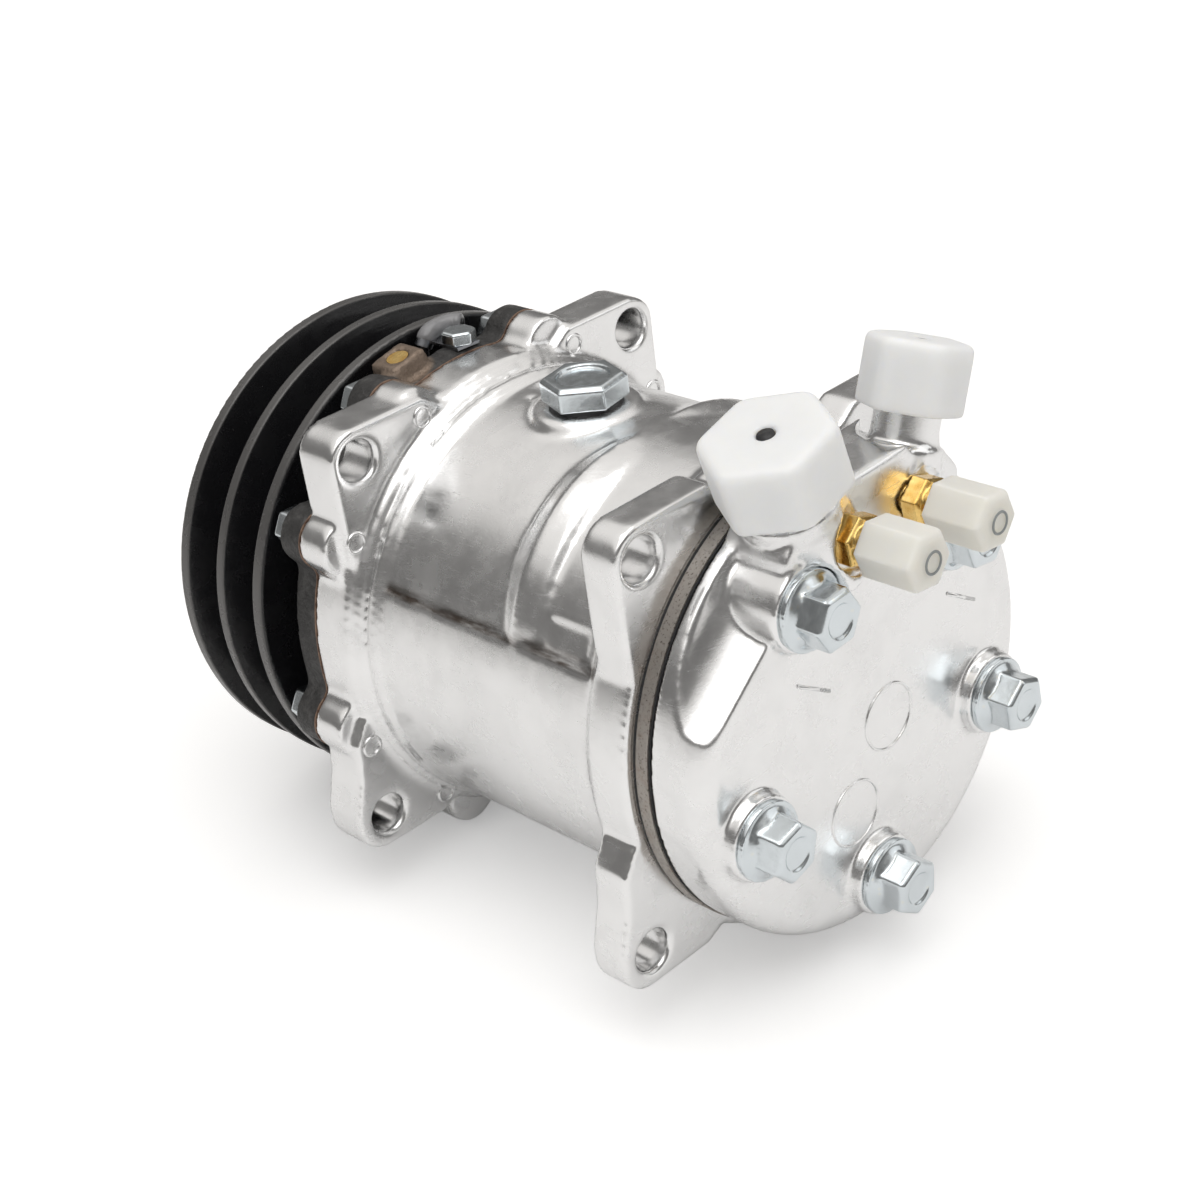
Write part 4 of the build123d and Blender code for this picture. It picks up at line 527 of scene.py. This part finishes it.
def tube(name, body, slot, points, radii, around=20, finish=None):
    """Round tube through points, with a radius at each, closed at both ends; all in millimetres."""
    shape = bmesh.new()
    rings = []
    side = Vector((0, 0, 1))
    for index, (point, radius) in enumerate(zip(points, radii)):
        ahead = (Vector(points[min(index + 1, len(points) - 1)]) - Vector(points[max(index - 1, 0)])).normalized()
        side = (side - ahead * side.dot(ahead)).normalized()
        other = ahead.cross(side)
        rings.append([shape.verts.new((Vector(point) + (side * math.cos(a) + other * math.sin(a)) * radius) * MM)
                      for a in (math.tau * k / around for k in range(around))])
    for first, second in zip(rings, rings[1:]):
        for k in range(around):
            shape.faces.new((first[k], first[(k + 1) % around], second[(k + 1) % around], second[k]))
    shape.faces.new(list(reversed(rings[0])))
    shape.faces.new(rings[-1])
    mesh = bpy.data.meshes.new(name)
    shape.to_mesh(mesh)
    shape.free()
    return add_piece(name, mesh, body, slot, finish)


for cap, lean, top, station in (("suction_port_cap", 16.0, 80.0, 110.4), ("discharge_port_cap", -21.0, 85.0, 111.2)):
    out = Vector((math.sin(math.radians(lean)), 0, math.cos(math.radians(lean))))
    places = [out * (top - depth) + Vector((0, station, 0)) for depth in (3.6, 2.4, 1.0, 0.45)]
    tube(cap + "_vent", cap, "seal_rubber", places, (2.15, 2.15, 2.15, 2.0))

# Crisp bars over the soft cast ones on the head, one beside each port.
turn = math.radians(32)
bar = Vector((math.cos(turn), 0, math.sin(turn)))
for name, x, z in (("suction_bar", 20, 15), ("discharge_bar", -34, 13)):
    centre = Vector((x, 116.2, z))
    tube(name, "root", "cast_aluminium", [centre - bar * 6, centre + bar * 6], (0.5, 0.5))

# Ring moulded into the end of each service-valve cap.
ring_grey = rubber("cap_ring_grey", (0.16, 0.17, 0.17), 0.4)
for cap, x, z in (("suction_valve_cap", 8.0, 48.5), ("discharge_valve_cap", -15.5, 47.6)):
    ring_set(cap + "_ring", cap, "cap_clear", [((x, 141.9, z), (0, 1, 0), 2.5)], 0.32, ring_grey)

# Black cable from the clutch coil, and the glossy grey sleeve shrunk over its end.
lead_marks = ((86.2, 47.2, -33.4), (86.7, 49.2, -29.4), (87.4, 55.5, -27.4), (88.4, 61.5, -27.2),
              (90.5, 64.4, -27.2), (94, 65.3, -27.0), (97.0, 65.7, -25.8), (98.2, 65.8, -23.6))
knots = [Vector((r * math.cos(math.radians(a)), y, r * math.sin(math.radians(a)))) for a, r, y in lead_marks]


def smooth_path(points, steps):
    """Points along a Catmull-Rom curve through the knots."""
    padded = [points[0] * 2 - points[1], *points, points[-1] * 2 - points[-2]]
    path = []
    for before, start, end, after in zip(padded, padded[1:], padded[2:], padded[3:]):
        for t in (k / steps for k in range(steps)):
            path.append(0.5 * (2 * start + (end - before) * t + (2 * before - 5 * start + 4 * end - after) * t ** 2
                               + (3 * start - before - 3 * end + after) * t ** 3))
    return path + [points[-1]]


lead_path = smooth_path(knots, 6)
cable = tube("lead_cable", "root", "lead_sleeve", lead_path, [1.5] * len(lead_path),
             finish=rubber("cable_black", (0.010, 0.010, 0.011), 0.35))
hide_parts("coil_lead")
sleeve_path = lead_path[20:]
tube("lead_sleeve_end", "root", "lead_sleeve", sleeve_path,
     [2.1, 2.5] + [2.6] * (len(sleeve_path) - 4) + [2.4, 2.0])

# ---------------------------------------------------------------- floor, light and camera
floor_mesh = bpy.data.meshes.new("floor")
half_floor = 6.0
floor_z = cad_low.z - 0.0002
floor_mesh.from_pydata([(x, y, floor_z) for x, y in ((-half_floor, -half_floor), (half_floor, -half_floor),
                                                     (half_floor, half_floor), (-half_floor, half_floor))],
                       [], [(0, 1, 2, 3)])
floor = bpy.data.objects.new("floor", floor_mesh)
scene.collection.objects.link(floor)
paper = Finish("paper", (0.93, 0.93, 0.93), roughness=0.9)
paper.bump(paper.noise(2.0, 3, 0.5), 0.02)
paper.set("Emission Color", (1, 1, 1, 1))
glow = paper.span(paper.radius((1, 1, 0)), 350, 1500, 0.30, 1.0)
paper.set("Emission Strength",
          paper.sum("MULTIPLY", paper.node("ShaderNodeLightPath").outputs["Is Camera Ray"], glow))
floor_mesh.materials.append(paper.material)

world = bpy.data.worlds.new("studio")
scene.world = world
world.use_nodes = True
sky = world.node_tree
background = sky.nodes["Background"]
direction = sky.nodes.new("ShaderNodeTexCoord")
split = sky.nodes.new("ShaderNodeSeparateXYZ")
sky.links.new(direction.outputs["Generated"], split.inputs[0])
band = sky.nodes.new("ShaderNodeValToRGB")
band.color_ramp.interpolation = "EASE"
sky.links.new(split.outputs["Z"], band.inputs[0])
stops = ((0.0, 0.75), (0.05, 0.15), (0.50, 0.20), (0.66, 0.80), (1.0, 0.90))
band.color_ramp.elements[0].position = stops[0][0]
band.color_ramp.elements[1].position = stops[-1][0]
for position, _ in stops[1:-1]:
    band.color_ramp.elements.new(position)
for element, (_, level) in zip(band.color_ramp.elements, stops):
    element.color = (level, level * 0.975, level * 0.945, 1)
white = sky.nodes.new("ShaderNodeMix")
white.data_type = "RGBA"
path = sky.nodes.new("ShaderNodeLightPath")
sky.links.new(path.outputs["Is Camera Ray"], white.inputs[0])
sky.links.new(band.outputs[0], white.inputs[6])
white.inputs[7].default_value = (1, 1, 1, 1)
sky.links.new(white.outputs[2], background.inputs["Color"])


def softbox(name, place, target, size, watts, mirrored=True):
    lamp = bpy.data.lights.new(name, "AREA")
    lamp.shape = "RECTANGLE"
    lamp.size, lamp.size_y = size
    lamp.energy = watts
    holder = bpy.data.objects.new(name, lamp)
    scene.collection.objects.link(holder)
    holder.location = place
    holder.rotation_euler = (Vector(target) - Vector(place)).to_track_quat("-Z", "Y").to_euler()
    holder.visible_glossy = mirrored


softbox("key", (0.2, 0.25, 1.1), (0, 0, 0), (1.0, 1.2), 5.0)
softbox("fill", (1.2, 0.3, 0.35), (0, 0.03, 0), (0.8, 0.8), 1.6, mirrored=False)
softbox("back", (-0.9, 0.9, 0.6), (0, 0.05, 0), (0.8, 0.8), 1.6)

camera_data = bpy.data.cameras.new("camera")
camera_data.sensor_width = 36.0
camera_data.lens = 62.72
camera_data.clip_start = 0.01
camera = bpy.data.objects.new("camera", camera_data)
scene.collection.objects.link(camera)
camera_right = Vector((-0.70182, 0.70218, -0.11995))
camera_up = Vector((-0.41187, -0.26260, 0.87259))
camera_back = Vector((0.58121, 0.66180, 0.47350))
camera.matrix_world = Matrix.Translation((0.31450, 0.38452, 0.25728)) @ Matrix(
    (camera_right, camera_up, camera_back)).transposed().to_4x4()
scene.camera = camera
scene.view_settings.view_transform = "Standard"
